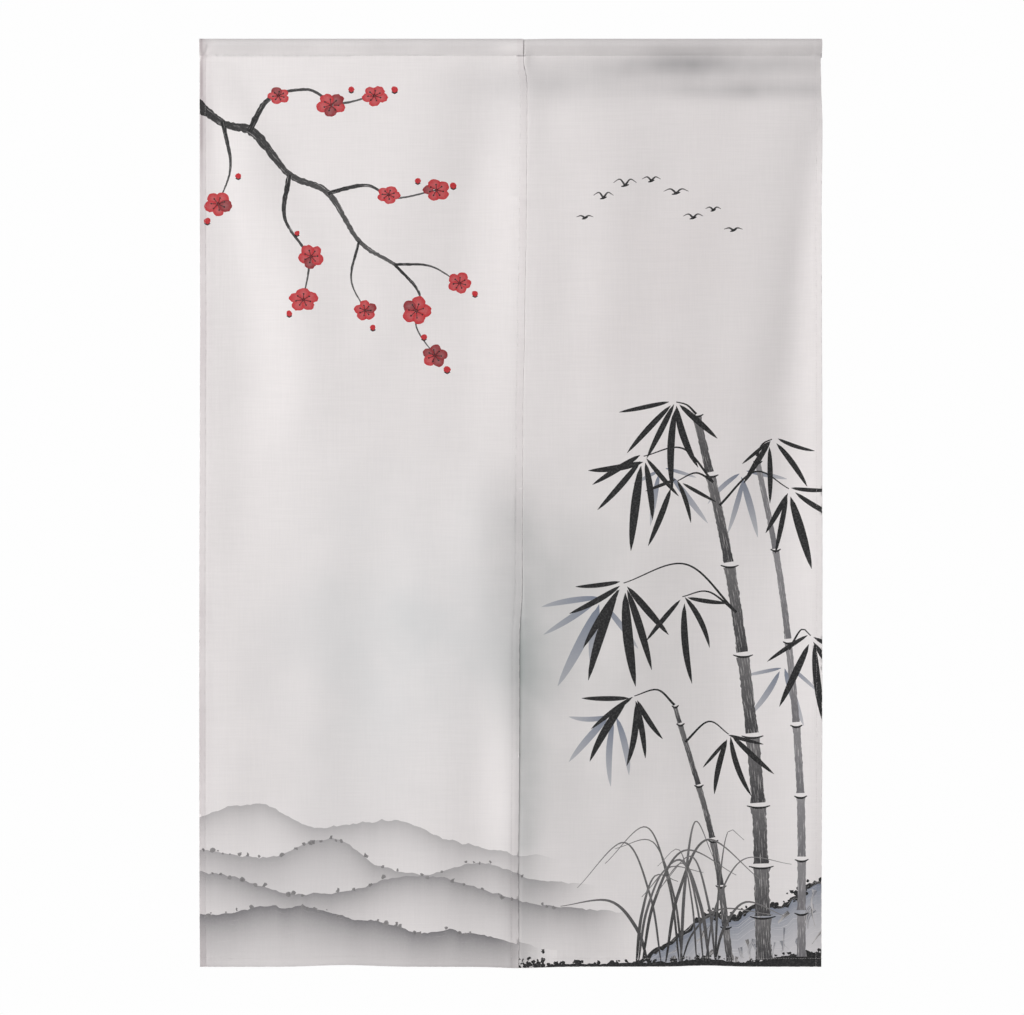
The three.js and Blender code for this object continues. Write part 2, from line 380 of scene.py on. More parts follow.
TUCKED_ROUND = 6.3  # the right pocket's end, tucked inside the left one
TUCKED_FOOT_Z = -18.2
LEFT_POCKET_END_X = 16.3
TUCK_GAP, TUCK_STEP, TUCK_STEP_SHARE, TUCK_SLOPE = 0.1, 5, 0.4, 44
TUCK_FOOT_GAP, TUCK_FOOT_STEP = 0.3, 2
SEAM_EASE = 5  # the drop over which the pocket's two layers come together

# Where each pocket's mouth has been pressed in beside its hem: how far the crease leans
# from the stitch line to the top, and how deep it is
MOUTH_CREASES = {-1: dict(x=-395, lean=16, depth=0.75), 1: dict(x=391, lean=0, depth=0.3)}
MOUTH_CREASE_WIDTH = 2.6
MOUTH_CREASE_START = 0.08  # share of the girth over which it begins
MOUTH_CREASE_END, MOUTH_CREASE_FADE = 0.5, 0.2  # where it is gone, and over what share
TURNING_OUT = 0.5  # how far the turned end below the stitch line stands off
EDGE_PACE = 4  # how much faster than the cloth its edges come to where the top's are


def pucker(distance_in, hem, along, seed):
    """The drawn-in ripple beside a line of stitches."""
    wander = sum(far * np.sin(along / length + shift * seed) for far, length, shift in PUCKER_WANDER)
    wave = np.sin(2 * np.pi * along / PUCKER_LENGTH + wander)
    groove = STITCH_GROOVE * bell(distance_in - hem, STITCH_GROOVE_REACH)
    return PUCKER_RISE * wave * bell(distance_in - hem, PUCKER_REACH) + groove


def pocket_section(side, x):
    """The round's radius, the foot's depth and the foot's height of a pocket at x."""
    if side < 0:
        return POCKET_ROUND, -LAP_AT_STITCH, STITCH_Z
    past_end = x - LEFT_POCKET_END_X
    stepped = smooth((past_end - TUCK_GAP) / TUCK_STEP)
    sloped = smooth((past_end - TUCK_GAP) / TUCK_SLOPE)
    out = mix(sloped, stepped, TUCK_STEP_SHARE)
    foot_out = smooth((past_end - TUCK_FOOT_GAP) / TUCK_FOOT_STEP)
    return (
        mix(TUCKED_ROUND, POCKET_ROUND, out),
        mix(-LAP_AT_STITCH, LAP_AT_STITCH, smooth(past_end / POCKET_SPREAD)),
        mix(TUCKED_FOOT_Z, STITCH_Z, foot_out),
    )


def pocket_place(side, x, up):
    """Depth and height of the cloth at a distance up from the stitch line, round the pocket."""
    radius, foot_y, foot_z = pocket_section(side, x)
    share = up / POCKET_GIRTH
    front = np.clip(share / FRONT_SHARE, 0, 1)
    over = np.clip((share - FRONT_SHARE) / ROUND_SHARE, 0, 1)
    back = np.clip((share - FRONT_SHARE - ROUND_SHARE) / FRONT_SHARE, 0, 1)
    below = np.clip(up - POCKET_GIRTH, 0, None)
    crease = MOUTH_CREASES[side]
    off_crease = x - crease["x"] - crease["lean"] * share
    dent = crease["depth"] * bell(off_crease, MOUTH_CREASE_WIDTH) * smooth(share / MOUTH_CREASE_START)
    angle = mix(np.pi + POCKET_DIP, -POCKET_DIP, over)
    round_y, round_z = radius * np.cos(angle), POCKET_AXIS_Z + radius * np.sin(angle)
    dent = dent * smooth((MOUTH_CREASE_END - share) / MOUTH_CREASE_FADE)
    y = mix(foot_y - POCKET_LAYERS, round_y, front) + dent
    z = mix(foot_z, round_z, front)
    y = np.where(back > 0, mix(round_y, foot_y + POCKET_LAYERS, back), y)
    z = np.where(back > 0, mix(round_z, foot_z, back), z) - below
    return y + TURNING_OUT * (below > 0) * smooth(below / POCKET_TURNING), z


def edge_level(up):
    """The height whose edges the cloth has: its own below the stitch line, the top above it."""
    return STITCH_Z + np.where(up > 0, np.minimum(up * EDGE_PACE, -STITCH_Z), up)


def cloth_place(side, x, up):
    """Where a point of the flat cloth hangs. up is its distance above the stitch line."""
    x = np.asarray(x, float)
    up = np.asarray(up, float)
    drop_share = np.clip(-up, 0, None) / (DROP + STITCH_Z)
    hung_z = mix(STITCH_Z, hemline_at(x), drop_share)
    left, right = cloth_sides(side, hung_z)
    y = cloth_depth(side, x, hung_z)
    outer_in = x - left if side < 0 else right - x
    y = y + pucker(outer_in, SIDE_HEM, hung_z, 0.7 + side)
    y = y + pucker(edge_at(hung_z, "slit_x") - x, SLIT_HEM, hung_z, 2.9)
    y = y + pucker(hung_z - hemline_at(x), BOTTOM_HEM, x, 4.4)
    y = y + pucker(STITCH_Z - hung_z, 0, x, 1.9)
    foot_share = np.exp(-(STITCH_Z - hung_z) / SEAM_EASE)
    y = y - POCKET_LAYERS * foot_share
    pocket_y, pocket_z = pocket_place(side, x, np.clip(up, 0, None))
    in_pocket = up > 0
    return np.stack([x, np.where(in_pocket, pocket_y, y), np.where(in_pocket, pocket_z, hung_z)], axis=1)


# The print. Both cloths carry one ink painting in black, greys, slate blue and red: bamboo
# over a rock, plum blossom, geese and far hills. It is dyed into the front of the cloth, so
# each touch of the brush is cut into the cloth's own mesh, in the order it was painted.
BLACK_INK = (0.017, 0.017, 0.018)
SOOT_INK = (0.045, 0.044, 0.047)
GREY_INK = (0.16, 0.155, 0.165)
SLATE_INK = (0.15, 0.178, 0.24)
DEEP_SLATE_INK = (0.085, 0.098, 0.13)
RED_INK = (0.50, 0.022, 0.03)
DARK_RED_INK = (0.26, 0.012, 0.018)


def curve_through(points, spacing=4.0):
    """A smooth line of evenly spaced points through a few given ones."""
    knots = np.array(points, float)
    padded = np.vstack([2 * knots[0] - knots[1], knots, 2 * knots[-1] - knots[-2]])
    line = []
    for a, b, c, d in zip(padded, padded[1:], padded[2:], padded[3:]):
        count = max(2, int(math.dist(b, c) / spacing))
        t = (np.arange(count) / count)[:, None]
        bend = 2 * b + (c - a) * t + (2 * a - 5 * b + 4 * c - d) * t**2 + (3 * b - a - 3 * c + d) * t**3
        line.append(bend / 2)
    line.append(knots[-1:])
    return np.vstack(line)


class Stroke:
    """A pull of the brush along a line, with a width at each of its points."""

    def __init__(self, line, widths, ink, density=(1, 1), dry=0.25, ragged=0.0, dice=None):
        self.line = np.asarray(line, float)
        self.ink, self.density, self.dry = ink, density, dry
        tangent = np.gradient(self.line, axis=0)
        tangent /= np.maximum(np.linalg.norm(tangent, axis=1, keepdims=True), 1e-9)
        across = np.stack([-tangent[:, 1], tangent[:, 0]], axis=1)
        half = np.asarray(widths, float)[:, None] / 2
        rough = np.ones((2, len(self.line), 1))
        if ragged:
            rough = rough + dice.normal(0, ragged, rough.shape)
        one = self.line + across * half * rough[0]
        other = self.line - across * half * rough[1]
        self.outline = np.vstack([one, other[::-1]])
        steps = np.linalg.norm(np.diff(self.line, axis=0), axis=1)
        self.lengths = np.concatenate([[0], np.cumsum(steps)])

    def lay(self, points):
        """Density, and the way along and across the brush's path, at some points."""
        starts, runs = self.line[:-1], np.diff(self.line, axis=0)
        offsets = points[:, None] - starts
        squares = np.maximum((runs**2).sum(axis=1), 1e-9)
        share = np.clip((offsets * runs).sum(axis=2) / squares, 0, 1)
        nearest = ((offsets - share[..., None] * runs) ** 2).sum(axis=2).argmin(axis=1)
        rows = np.arange(len(points))
        run, offset = runs[nearest], offsets[rows, nearest]
        across = (run[:, 0] * offset[:, 1] - run[:, 1] * offset[:, 0]) / np.sqrt(squares[nearest])
        along = self.lengths[nearest] + share[rows, nearest] * np.sqrt(squares[nearest])
        return mix(*self.density, along / self.lengths[-1]), along, across


class Blot:
    """A rounded touch of the brush, with an uneven rim."""

    def __init__(self, centre, radius, ink, density=(1, 1), dry=0.15, ragged=0.12, dice=None, squash=1.0):
        self.centre, self.radius = np.asarray(centre, float), radius
        self.ink, self.density, self.dry = ink, density, dry
        count = int(np.clip(radius * 2.2, 7, 40))
        angles = np.linspace(0, 2 * np.pi, count, endpoint=False)
        reach = radius * (1 + dice.normal(0, ragged, count))
        rim = np.stack([reach * np.cos(angles), reach * squash * np.sin(angles)], axis=1)
        self.outline = self.centre + rim

    def lay(self, points):
        offset = points - self.centre
        out = np.linalg.norm(offset, axis=1)
        dense = mix(*self.density, np.clip(out / self.radius, 0, 1))
        return dense, out * 0.6, np.arctan2(*offset.T) * self.radius


SIDE_STEP = 6  # between a wash's points down its sides, so that it fades evenly


class Ridge:
    """A wash with a sharp upper rim, which fades out downwards as far hills and rocks do."""

    def __init__(self, crest, foot, ink, density, fade, dry=0.3, end_fade=90):
        self.crest, self.fade, self.end_fade = np.asarray(crest, float), fade, end_fade
        self.ink, self.density, self.dry = ink, density, dry
        (left, left_top), (right, right_top) = self.crest[[0, -1]]
        down = [(right, z) for z in np.arange(right_top - SIDE_STEP, foot, -SIDE_STEP)]
        up = [(left, z) for z in np.arange(foot, left_top - SIDE_STEP + 1, SIDE_STEP)]
        self.outline = np.vstack([self.crest, down, up])

    def lay(self, points):
        below = np.interp(points[:, 0], *self.crest.T) - points[:, 1]
        side_fade = np.minimum(points[:, 0] - self.crest[0, 0], self.crest[-1, 0] - points[:, 0])
        dense = self.density * np.exp(-np.clip(below, 0, None) / self.fade)
        return dense * smooth(side_fade / self.end_fade), points[:, 0] * 0.35, below


def rough_line(start, end, rises, dice, steps=70, jitter=2.0):
    """A crest from one place to another: broad swells with a fine broken edge on them."""
    t = np.linspace(0, 1, steps)
    x, z = mix(start[0], end[0], t), mix(start[1], end[1], t)
    for place, width, rise in rises:
        z = z + rise * bell(x - place, width)
    wander = np.cumsum(dice.normal(0, jitter, steps))
    wander -= mix(wander[0], wander[-1], t)
    return np.stack([x, z + wander], axis=1)


BELOW_HEM = -1260  # where a wash's outline closes, out of sight
WOODED_DENSITY = 0.6  # hills that are near enough to show trees
HILLS_START_X = -540  # past the left edge, where they are already faint
HILLS = (
    dict(start_z=-994, end=(70, -1062), swells=((-330, 60, 34), (-150, 70, 26)), density=0.52, fade=26),
    dict(start_z=-1044, end=(120, -1096), swells=((-235, 55, 30), (-40, 60, 16)), density=0.64, fade=34),
    dict(start_z=-1080, end=(170, -1132), swells=((-380, 50, 16), (-110, 75, 30)), density=0.78, fade=30),
    dict(start_z=-1132, end=(60, -1178), swells=((-300, 70, 22), (-170, 40, 6)), density=0.95, fade=40),
)


def paint_hills():
    """Far hills in mist, low on the left cloth and running out past the slit."""
    dice = np.random.default_rng(11)
    hills = []
    for row in HILLS:
        start = (HILLS_START_X, row["start_z"])
        crest = rough_line(start, row["end"], row["swells"], dice, steps=148, jitter=1.1)
        hills.append(Ridge(crest, BELOW_HEM, GREY_INK, row["density"], row["fade"]))
        if row["density"] < WOODED_DENSITY:
            continue
        for x, z in crest[28:-22:2]:
            if dice.random() < 0.5:
                tree = (x + dice.uniform(-3, 3), z + dice.uniform(-2, 3))
                size = dice.uniform(1.2, 3.4)
                hills.append(Blot(tree, size, SOOT_INK, (0.9, 0.7), dice=dice, ragged=0.3))
    return hills


FLOCK = (  # each goose's x, z and the reach of a wing
    (120, -206, 13), (148, -190, 15), (182, -184, 12), (214, -200, 16),
    (96, -232, 11), (236, -232, 13), (262, -222, 10), (288, -248, 12),
)


def paint_geese():
    """A straggling line of geese, high on the right cloth."""
    dice = np.random.default_rng(5)
    geese = []
    for x, z, reach in FLOCK:
        lift = dice.uniform(0.25, 0.6)
        for way in (-1, 1):
            bend = (x + way * reach * 0.45, z + reach * lift)
            tip = (x + way * reach, z + reach * lift * 0.45)
            wing = curve_through([(x, z), bend, tip], 1.6)
            widths = mix(2.9, 0.7, np.linspace(0, 1, len(wing)))
            geese.append(Stroke(wing, widths, BLACK_INK, (1, 0.85), dry=0.15))
        body = curve_through([(x - reach * 0.35, z - 1.5), (x, z - 0.4), (x + reach * 0.34, z + 1.2)], 1.6)
        geese.append(Stroke(body, 2.6 * np.sin(np.linspace(0.35, 2.8, len(body))), BLACK_INK))
    return geese


def leaf_stroke(root, turn, length, width, ink, density, bend, dice):
    """One bamboo leaf, pulled from its twig to a long thin point."""
    t = np.linspace(0, 1, 11)
    angle = turn + bend * (t - 0.3)
    step = length / 10
    line = np.array(root) + step * np.cumsum(np.stack([np.cos(angle), np.sin(angle)], axis=1), axis=0)
    widths = width * 1.75 * t**0.6 * (1 - t) ** 0.75 + 0.45
    return Stroke(line, widths, ink, density, dry=dice.uniform(0.1, 0.3))


def leaf_spray(tip, size, count, lean, dice, ink=BLACK_INK, density=(1, 1)):
    """Leaves that hang from the end of a twig, spread like fingers."""
    spray = []
    turns = np.linspace(-62, 62, count) + dice.normal(0, 7, count)
    for turn in turns:
        middle = 1 - abs(turn) / 150
        length = size * middle * dice.uniform(0.8, 1.15)
        angle = math.radians(-90 + lean + turn)
        root = np.array(tip) + dice.normal(0, 2.5, 2)
        bend = dice.normal(0, 0.22)
        width = length * dice.uniform(0.12, 0.165)
        spray.append(leaf_stroke(root, angle, length, width, ink, density, bend, dice))
    dice.shuffle(spray)
    return spray


STALKS = (
    dict(path=((376, -1190), (374, -960), (352, -720), (318, -540)), width=(11, 6), ink=GREY_INK, first=60),
    dict(path=((328, -1194), (318, -960), (286, -700), (240, -486)), width=(20, 9), ink=SOOT_INK, first=58),
    dict(path=((284, -1196), (262, -1040), (212, -862)), width=(9, 5), ink=SOOT_INK, first=46),
)
SPRAYS = (
    dict(twig=((240, -486), (228, -474), (214, -470)), size=104, leaves=6, lean=-14),
    dict(twig=((262, -574), (222, -530), (172, -540)), size=112, leaves=6, lean=-20),
    dict(twig=((262, -574), (240, -562), (216, -572)), size=84, leaves=4, lean=-4),
    dict(twig=((270, -604), (316, -560), (360, -582)), size=96, leaves=5, lean=18),
    dict(twig=((318, -540), (326, -524), (338, -518)), size=82, leaves=5, lean=12),
    dict(twig=((292, -742), (226, -680), (146, -704)), size=124, leaves=7, lean=-16),
    dict(twig=((292, -742), (256, -716), (222, -722)), size=100, leaves=4, lean=14),
    dict(twig=((360, -790), (376, -764), (388, -772)), size=104, leaves=5, lean=8),
    dict(twig=((212, -862), (190, -842), (160, -850)), size=98, leaves=6, lean=-22),
    dict(twig=((226, -910), (256, -884), (282, -900)), size=84, leaves=5, lean=16),
)
PALE_SPRAYS = (
    dict(tip=(120, -724), size=112, leaves=5, lean=-26),
    dict(tip=(300, -560), size=92, leaves=4, lean=10),
    dict(tip=(132, -872), size=88, leaves=4, lean=-18),
    dict(tip=(352, -812), size=96, leaves=4, lean=-6),
    dict(tip=(196, -556), size=88, leaves=4, lean=6),
)


def paint_stalk(row, dice):
    """One stalk: a dry pull of the brush for each length, and a dark ring at each joint."""
    line = curve_through(row["path"], 3.0)
    lengths = np.concatenate([[0], np.cumsum(np.linalg.norm(np.diff(line, axis=0), axis=1))])
    total, start, internode = lengths[-1], 0.0, row["first"]
    touches = []
    while start < total - 12:
        end = min(start + internode, total)
        part = line[(lengths >= start + 1.2) & (lengths <= end - 1.2)]
        if len(part) < 4:
            break
        t = np.linspace(0, 1, len(part))
        width = mix(*row["width"], start / total) * (1 + 0.16 * np.abs(2 * t - 1) ** 7)
        touches.append(Stroke(part, width, row["ink"], (1.0, 0.86), dry=0.46, ragged=0.05, dice=dice))
        joint, half = part[-1], width[-1] * 0.72
        dip = ((-half, 2.2), (-half * 0.3, -0.2), (half * 0.4, 0.1), (half, 2.6))
        ring = curve_through([joint + offset for offset in dip], 1.5)
        touches.append(Stroke(ring, 1.2 + 1.6 * np.sin(np.linspace(0, np.pi, len(ring))), BLACK_INK, dry=0.1))
        start = end
        internode = min(internode * 1.16, 118)
    return touches


def paint_bamboo():
    """A clump of bamboo that rises from the right cloth's lower corner."""
    dice = np.random.default_rng(23)
    pale, stems, dark = [], [], []
    for row in PALE_SPRAYS:
        pale += leaf_spray(row["tip"], row["size"], row["leaves"], row["lean"], dice, SLATE_INK, (0.95, 0.45))
    for row in STALKS:
        stems += paint_stalk(row, dice)
    for row in SPRAYS:
        twig = curve_through(row["twig"], 4.0)
        stems.append(Stroke(twig, mix(3.2, 1.3, np.linspace(0, 1, len(twig))), BLACK_INK))
        dark += leaf_spray(twig[-1], row["size"], row["leaves"], row["lean"], dice)
    return pale + stems + dark


ROCK = dict(start=(150, -1204), end=(500, -1062), swells=((250, 34, 26), (322, 28, 20), (396, 26, 14)))
BANK = dict(
    start=(20, -1202), end=(500, -1186), swells=((76, 40, 5), (150, 44, 7), (240, 46, 6), (356, 50, 9))
)


ROCK_HATCHES, ROCK_TUFTS, BANK_MOSS, BANK_SPECKS = 40, 60, 150, 110


def paint_rock():
    """The rock behind the bamboo, and the black mossy bank along the hem."""
    dice = np.random.default_rng(31)
    touches = []
    crest = rough_line(ROCK["start"], ROCK["end"], ROCK["swells"], dice, 116, 1.5)
    touches.append(Ridge(crest, BELOW_HEM, SLATE_INK, 0.95, 60, dry=0.45, end_fade=40))
    widths = 3.0 + 3.4 * dice.random(len(crest))
    touches.append(Stroke(crest, widths, BLACK_INK, dry=0.45, ragged=0.25, dice=dice))
    for _ in range(ROCK_HATCHES):
        place = crest[dice.integers(14, 88)] - (0, dice.uniform(4, 62))
        run = np.array([dice.uniform(-22, 6), dice.uniform(-30, -10)])
        line = curve_through([place, place + run * 0.5 + dice.normal(0, 3, 2), place + run], 3.0)
        widths = dice.uniform(2, 7) * np.linspace(1, 0.25, len(line))
        ink = DEEP_SLATE_INK if dice.random() < 0.6 else BLACK_INK
        touches.append(Stroke(line, widths, ink, (0.9, 0.5), dry=0.6, ragged=0.2, dice=dice))
    bank = rough_line(BANK["start"], BANK["end"], BANK["swells"], dice, 204, 0.5)
    touches.append(Ridge(bank, BELOW_HEM, BLACK_INK, 1.0, 4000, dry=0.1, end_fade=12))
    for _ in range(BANK_MOSS):
        place = bank[dice.integers(6, 170)] + (dice.normal(0, 3), dice.uniform(-2, 4))
        touches.append(Blot(place, dice.uniform(0.9, 3.4), BLACK_INK, ragged=0.3, squash=0.7, dice=dice))
    for _ in range(BANK_SPECKS):
        place = (44 - dice.exponential(40), -1199 + dice.exponential(4))
        touches.append(Blot(place, dice.uniform(0.7, 2.6), BLACK_INK, ragged=0.3, dice=dice))
    for _ in range(ROCK_TUFTS):
        place = crest[dice.integers(20, 88)] + (dice.normal(0, 5), dice.uniform(-3, 8))
        touches.append(Blot(place, dice.uniform(1.2, 3.6), BLACK_INK, ragged=0.3, dice=dice))
    return touches


GRASS_BLADES = 17


def paint_grass():
    """Long arching grass, rooted in the bank at the foot of the right cloth."""
    dice = np.random.default_rng(41)
    blades = []
    for _ in range(GRASS_BLADES):
        root = np.array([dice.uniform(150, 270), -1194])
        way = dice.choice((-1, 1), p=(0.6, 0.4))
        reach, height = dice.uniform(20, 100), dice.uniform(60, 190)
        top = root + (way * reach * 0.55, height)
        tip = root + (way * reach * 1.25, height * dice.uniform(0.6, 1.0))
        line = curve_through([root, root + (way * reach * 0.16, height * 0.55), top, tip], 6.0)
        t = np.linspace(0, 1, len(line))
        widths = dice.uniform(1.8, 3.8) * (0.35 + np.sin(np.pi * t**0.7)) * (1 - 0.6 * t) + 0.35
        ink = BLACK_INK if dice.random() < 0.6 else SOOT_INK
        blades.append(Stroke(line, widths, ink, (1, 0.75), dry=0.35))
    return blades


def paint_blossom(centre, size, dice):
    """A plum blossom: five round petals and a ring of stamens."""
    turn = dice.uniform(0, 2 * np.pi)
    flat = dice.uniform(0.72, 1.0)
    petals, stamens = [], []
    for k in range(5):
        angle = turn + k * 2 * np.pi / 5
        out = np.array([math.cos(angle), math.sin(angle) * flat])
        ink = RED_INK if dice.random() < 0.75 else DARK_RED_INK
        place, radius = centre + out * size * 0.31, size * dice.uniform(0.235, 0.28)
        petals.append(Blot(place, radius, ink, (0.86, 1), dry=0.22, ragged=0.05, dice=dice, squash=flat))
    for k in range(7):
        angle = turn + 0.3 + k * 2 * np.pi / 7
        out = np.array([math.cos(angle), math.sin(angle) * flat])
        stem = np.array([centre + out * size * 0.03, centre + out * size * 0.15, centre + out * size * 0.25])
        stamens.append(Stroke(stem, (1.0, 0.9, 0.8), BLACK_INK))
        stamens.append(Blot(centre + out * size * 0.28, 1.15, BLACK_INK, dice=dice))
    return petals + [Blot(centre, size * 0.075, DARK_RED_INK, dice=dice)] + stamens


LIMBS = (
    dict(
        path=(
            (-441, -57), (-374, -108), (-332, -122), (-286, -176), (-236, -200), (-196, -262), (-150, -292)
        ),
        width=(15, 4.5),
    ),
    dict(path=((-338, -120), (-312, -78), (-262, -66), (-226, -84), (-176, -74)), width=(7, 2.0)),
    dict(path=((-286, -176), (-292, -232), (-262, -284), (-268, -338)), width=(6.5, 1.8)),
    dict(path=((-236, -200), (-186, -190), (-150, -206), (-96, -196)), width=(5.5, 1.6)),
    dict(path=((-150, -292), (-118, -330), (-122, -372), (-98, -410)), width=(4, 1.4)),
    dict(path=((-150, -292), (-104, -294), (-66, -316)), width=(3.6, 1.4)),
    dict(path=((-372, -108), (-362, -166), (-378, -214)), width=(5.5, 1.6)),
    dict(path=((-196, -262), (-206, -312), (-188, -352)), width=(3.6, 1.4)),
)
FLOWERS = (  # each one's x, z and size across
    (-176, -74, 30), (-232, -86, 34), (-96, -196, 32), (-158, -202, 28), (-268, -338, 34), (-258, -282, 30),
    (-98, -410, 30), (-122, -352, 34), (-66, -316, 28), (-378, -214, 32), (-188, -352, 26), (-300, -74, 26),
)
BUDS = (
    (-150, -66, 9), (-206, -66, 8), (-74, -190, 9), (-286, -356, 8), (-82, -428, 9), (-46, -330, 8),
    (-392, -236, 9), (-352, -178, 8), (-178, -374, 8), (-112, -386, 8), (-120, -184, 8), (-276, -252, 7),
)


def paint_plum():
    """A branch of red plum blossom that comes in from the left cloth's upper edge."""
    dice = np.random.default_rng(61)
    branch = []
    for row in LIMBS:
        line = curve_through(row["path"], 3.2)
        t = np.linspace(0, 1, len(line))
        knots = 1 + 0.22 * np.sin(t * len(line) / 5.5) * (1 - t)
        widths = mix(*row["width"], t**0.8) * knots
        branch.append(Stroke(line, widths, BLACK_INK, (1, 0.9), dry=0.42, ragged=0.1, dice=dice))
    for x, z, size in FLOWERS:
        branch += paint_blossom(np.array([x, z], float), size, dice)
    for x, z, size in BUDS:
        branch.append(Blot((x, z), size / 2, RED_INK, (0.95, 1), ragged=0.07, dice=dice))
        rim_z = z - size * 0.3
        cup = curve_through([(x - size * 0.4, rim_z), (x, z - size * 0.56), (x + size * 0.4, rim_z)], 1.5)
        branch.append(Stroke(cup, np.full(len(cup), 1.6), BLACK_INK))
    return branch


far_hills = paint_hills()
left_only = paint_plum()
right_only = paint_geese() + paint_rock() + paint_bamboo() + paint_grass()

# Soft washes that lie in the cloth without an edge: the mist and cloud of the painting,
# painted shade and painted light for the lie of the folds, the hems and the heading, and
# darker tones along the edges
SLIT_SHADE_TINT = (0.28, 0.31, 0.305)
SHADE_TINT = (0.2, 0.2, 0.2)
CLOUD_TINT = (0.16, 0.16, 0.17)
MID_GREY_TINT = (0.42, 0.41, 0.42)
PALE_TINT = (0.97, 0.93, 0.93)
WASHES_AND_PAINTED_LIGHT = (
    # Painted shade where both cloths curl back at the slit, in the painting's greyish green
    dict(name="painted shade beside the slit, upper", x=18, z=-680, wide=40, tall=70, tint=SLIT_SHADE_TINT, density=0.24),
    dict(name="painted shade beside the slit, lower", x=24, z=-842, wide=36, tall=70, tint=SLIT_SHADE_TINT, density=0.34),
    # Painted shadow down the right cloth, cast there by the left cloth's edge
    dict(name="shade down the slit", side=1, x=15, z=-930, wide=25, tall=230, tint=SLIT_SHADE_TINT, density=0.36),
    # Painted shadow in a narrow line on the right cloth, beside the left cloth's edge
    dict(name="painted shadow line at the slit", side=1, x=12.6, z=-862, wide=3.8, tall=135, tint=SHADE_TINT, density=0.34),
    dict(name="pale heading", side=-1, x=0, z=-12, wide=26, tall=9, tint=PALE_TINT, density=0.42),
    dict(name="darker by the upper left edge", x=-392, z=-88, wide=13, tall=66, tint=(0.42, 0.39, 0.40), density=0.18),
    dict(name="darker at the top of the slit", side=-1, x=-8, z=-104, wide=28, tall=70, tint=MID_GREY_TINT, density=0.12),
    # Painted light where the right cloth's outer fold turns towards the lamp
    dict(name="painted light on the right edge's fold", side=1, x=366, z=-860, wide=50, tall=200, tint=PALE_TINT, density=0.34),
    # Painted light where the left cloth, low beside the slit, turns towards the lamp
    dict(name="painted light beside the slit, low", side=-1, x=-14, z=-950, wide=30, tall=110, tint=PALE_TINT, density=0.5),
    dict(name="high cloud", side=1, x=262, z=-34, wide=150, tall=17, tint=CLOUD_TINT, density=0.5),
    dict(name="high cloud, lower", side=1, x=330, z=-66, wide=130, tall=12, tint=CLOUD_TINT, density=0.38),
    dict(name="cloud across the slit", x=56, z=-58, wide=96, tall=26, tint=(0.28, 0.28, 0.29), density=0.23),
    # The painting's mist about the slit, darkened further as painted shade of the folds there
    dict(name="mist and painted shade, left of the slit", x=-110, z=-770, wide=170, tall=170, tint=(0.60, 0.62, 0.63), density=0.44),
    dict(name="mist and painted shade, right of the slit", x=112, z=-770, wide=120, tall=200, tint=(0.40, 0.40, 0.39), density=0.32),
    dict(name="haze over the hills", x=-230, z=-1060, wide=240, tall=90, tint=(0.5, 0.5, 0.52), density=0.10),
    # Painted shade: both cloths darker towards the foot, where less of the light from above reaches
    dict(name="painted shade low on the left", x=-340, z=-1010, wide=170, tall=420, tint=MID_GREY_TINT, density=0.12),
    dict(name="painted shade low on the right", x=170, z=-1080, wide=210, tall=170, tint=MID_GREY_TINT, density=0.10),
    dict(name="warm cast, right", x=220, z=-330, wide=210, tall=260, tint=(0.70, 0.60, 0.60), density=0.10),
)
# Painted shade on the heading, deepest part way down its front, where its doubled cloth turns down away from
# the light
HEADING_SHADE_TINT = (0.47, 0.45, 0.455)
HEADING_Z, HEADING_SHADE_DENSITY = (-22, -17, -8, -4, -1.5, 0), (0.2, 0.24, 0.33, 0.24, 0.08, 0)
# Painted shade of the doubled hems, where less light comes through
HEM_SHADE_TINT = (0.50, 0.42, 0.44)
# Painted shade in the slit hem's stitch groove and along the edges, partly soil at the left edge
SHADE_AND_SOIL_TINT = (0.30, 0.26, 0.27)

# How dark each edge's painted shade is: the doubled cloth of the hem, where less light comes
# through, the line close to the edge, painted shade where it turns back and partly soil, and
# how far the hem's shade spreads into the single cloth
EDGE_SHADES = dict(
    outer_left=dict(hem=0.288, shade_and_soil=0.75, spread=0.4),
    outer_right=dict(hem=0.036, shade_and_soil=0, spread=0),
    slit=dict(hem=0.108, shade_and_soil=0, spread=0),
)
HEM_TONE_PAST, HEM_TONE_EASE = 1.2, 2  # how far past the hem its tone ends, and how softly
SPREAD_REACH, SPREAD_EASE = 22, 14  # how far in from the edge a spread tone reaches
EDGE_LINE_IN, EDGE_LINE_WIDTH = 2.5, 2.2  # where the darker line lies along an edge
EDGE_LINE_HIGH, EDGE_LINE_LOW = 0.84, 0.1  # its share high up and below
EDGE_LINE_DROP, EDGE_LINE_EASE = 130, 90
SEAM_DENSITY, SEAM_WIDTH = 0.26, 1.4  # of the painted shade in the groove of the slit hem's row of stitches
SEAM_PAST = 0.6  # how far outside the stitches it lies
SEAM_STARTS, SEAM_FULL, SEAM_TONE_EASE = 300, 540, 60  # how far down it begins and is full
SEAM_FIRST_SHARE = 0.35  # of the full density, between those two heights
HEADING_EASE = 1.6  # the height over which the heading's painted shade begins
FOOT_DENSITY, FOOT_HEIGHT = 0.2, 3.0  # of the darker tone along the foot
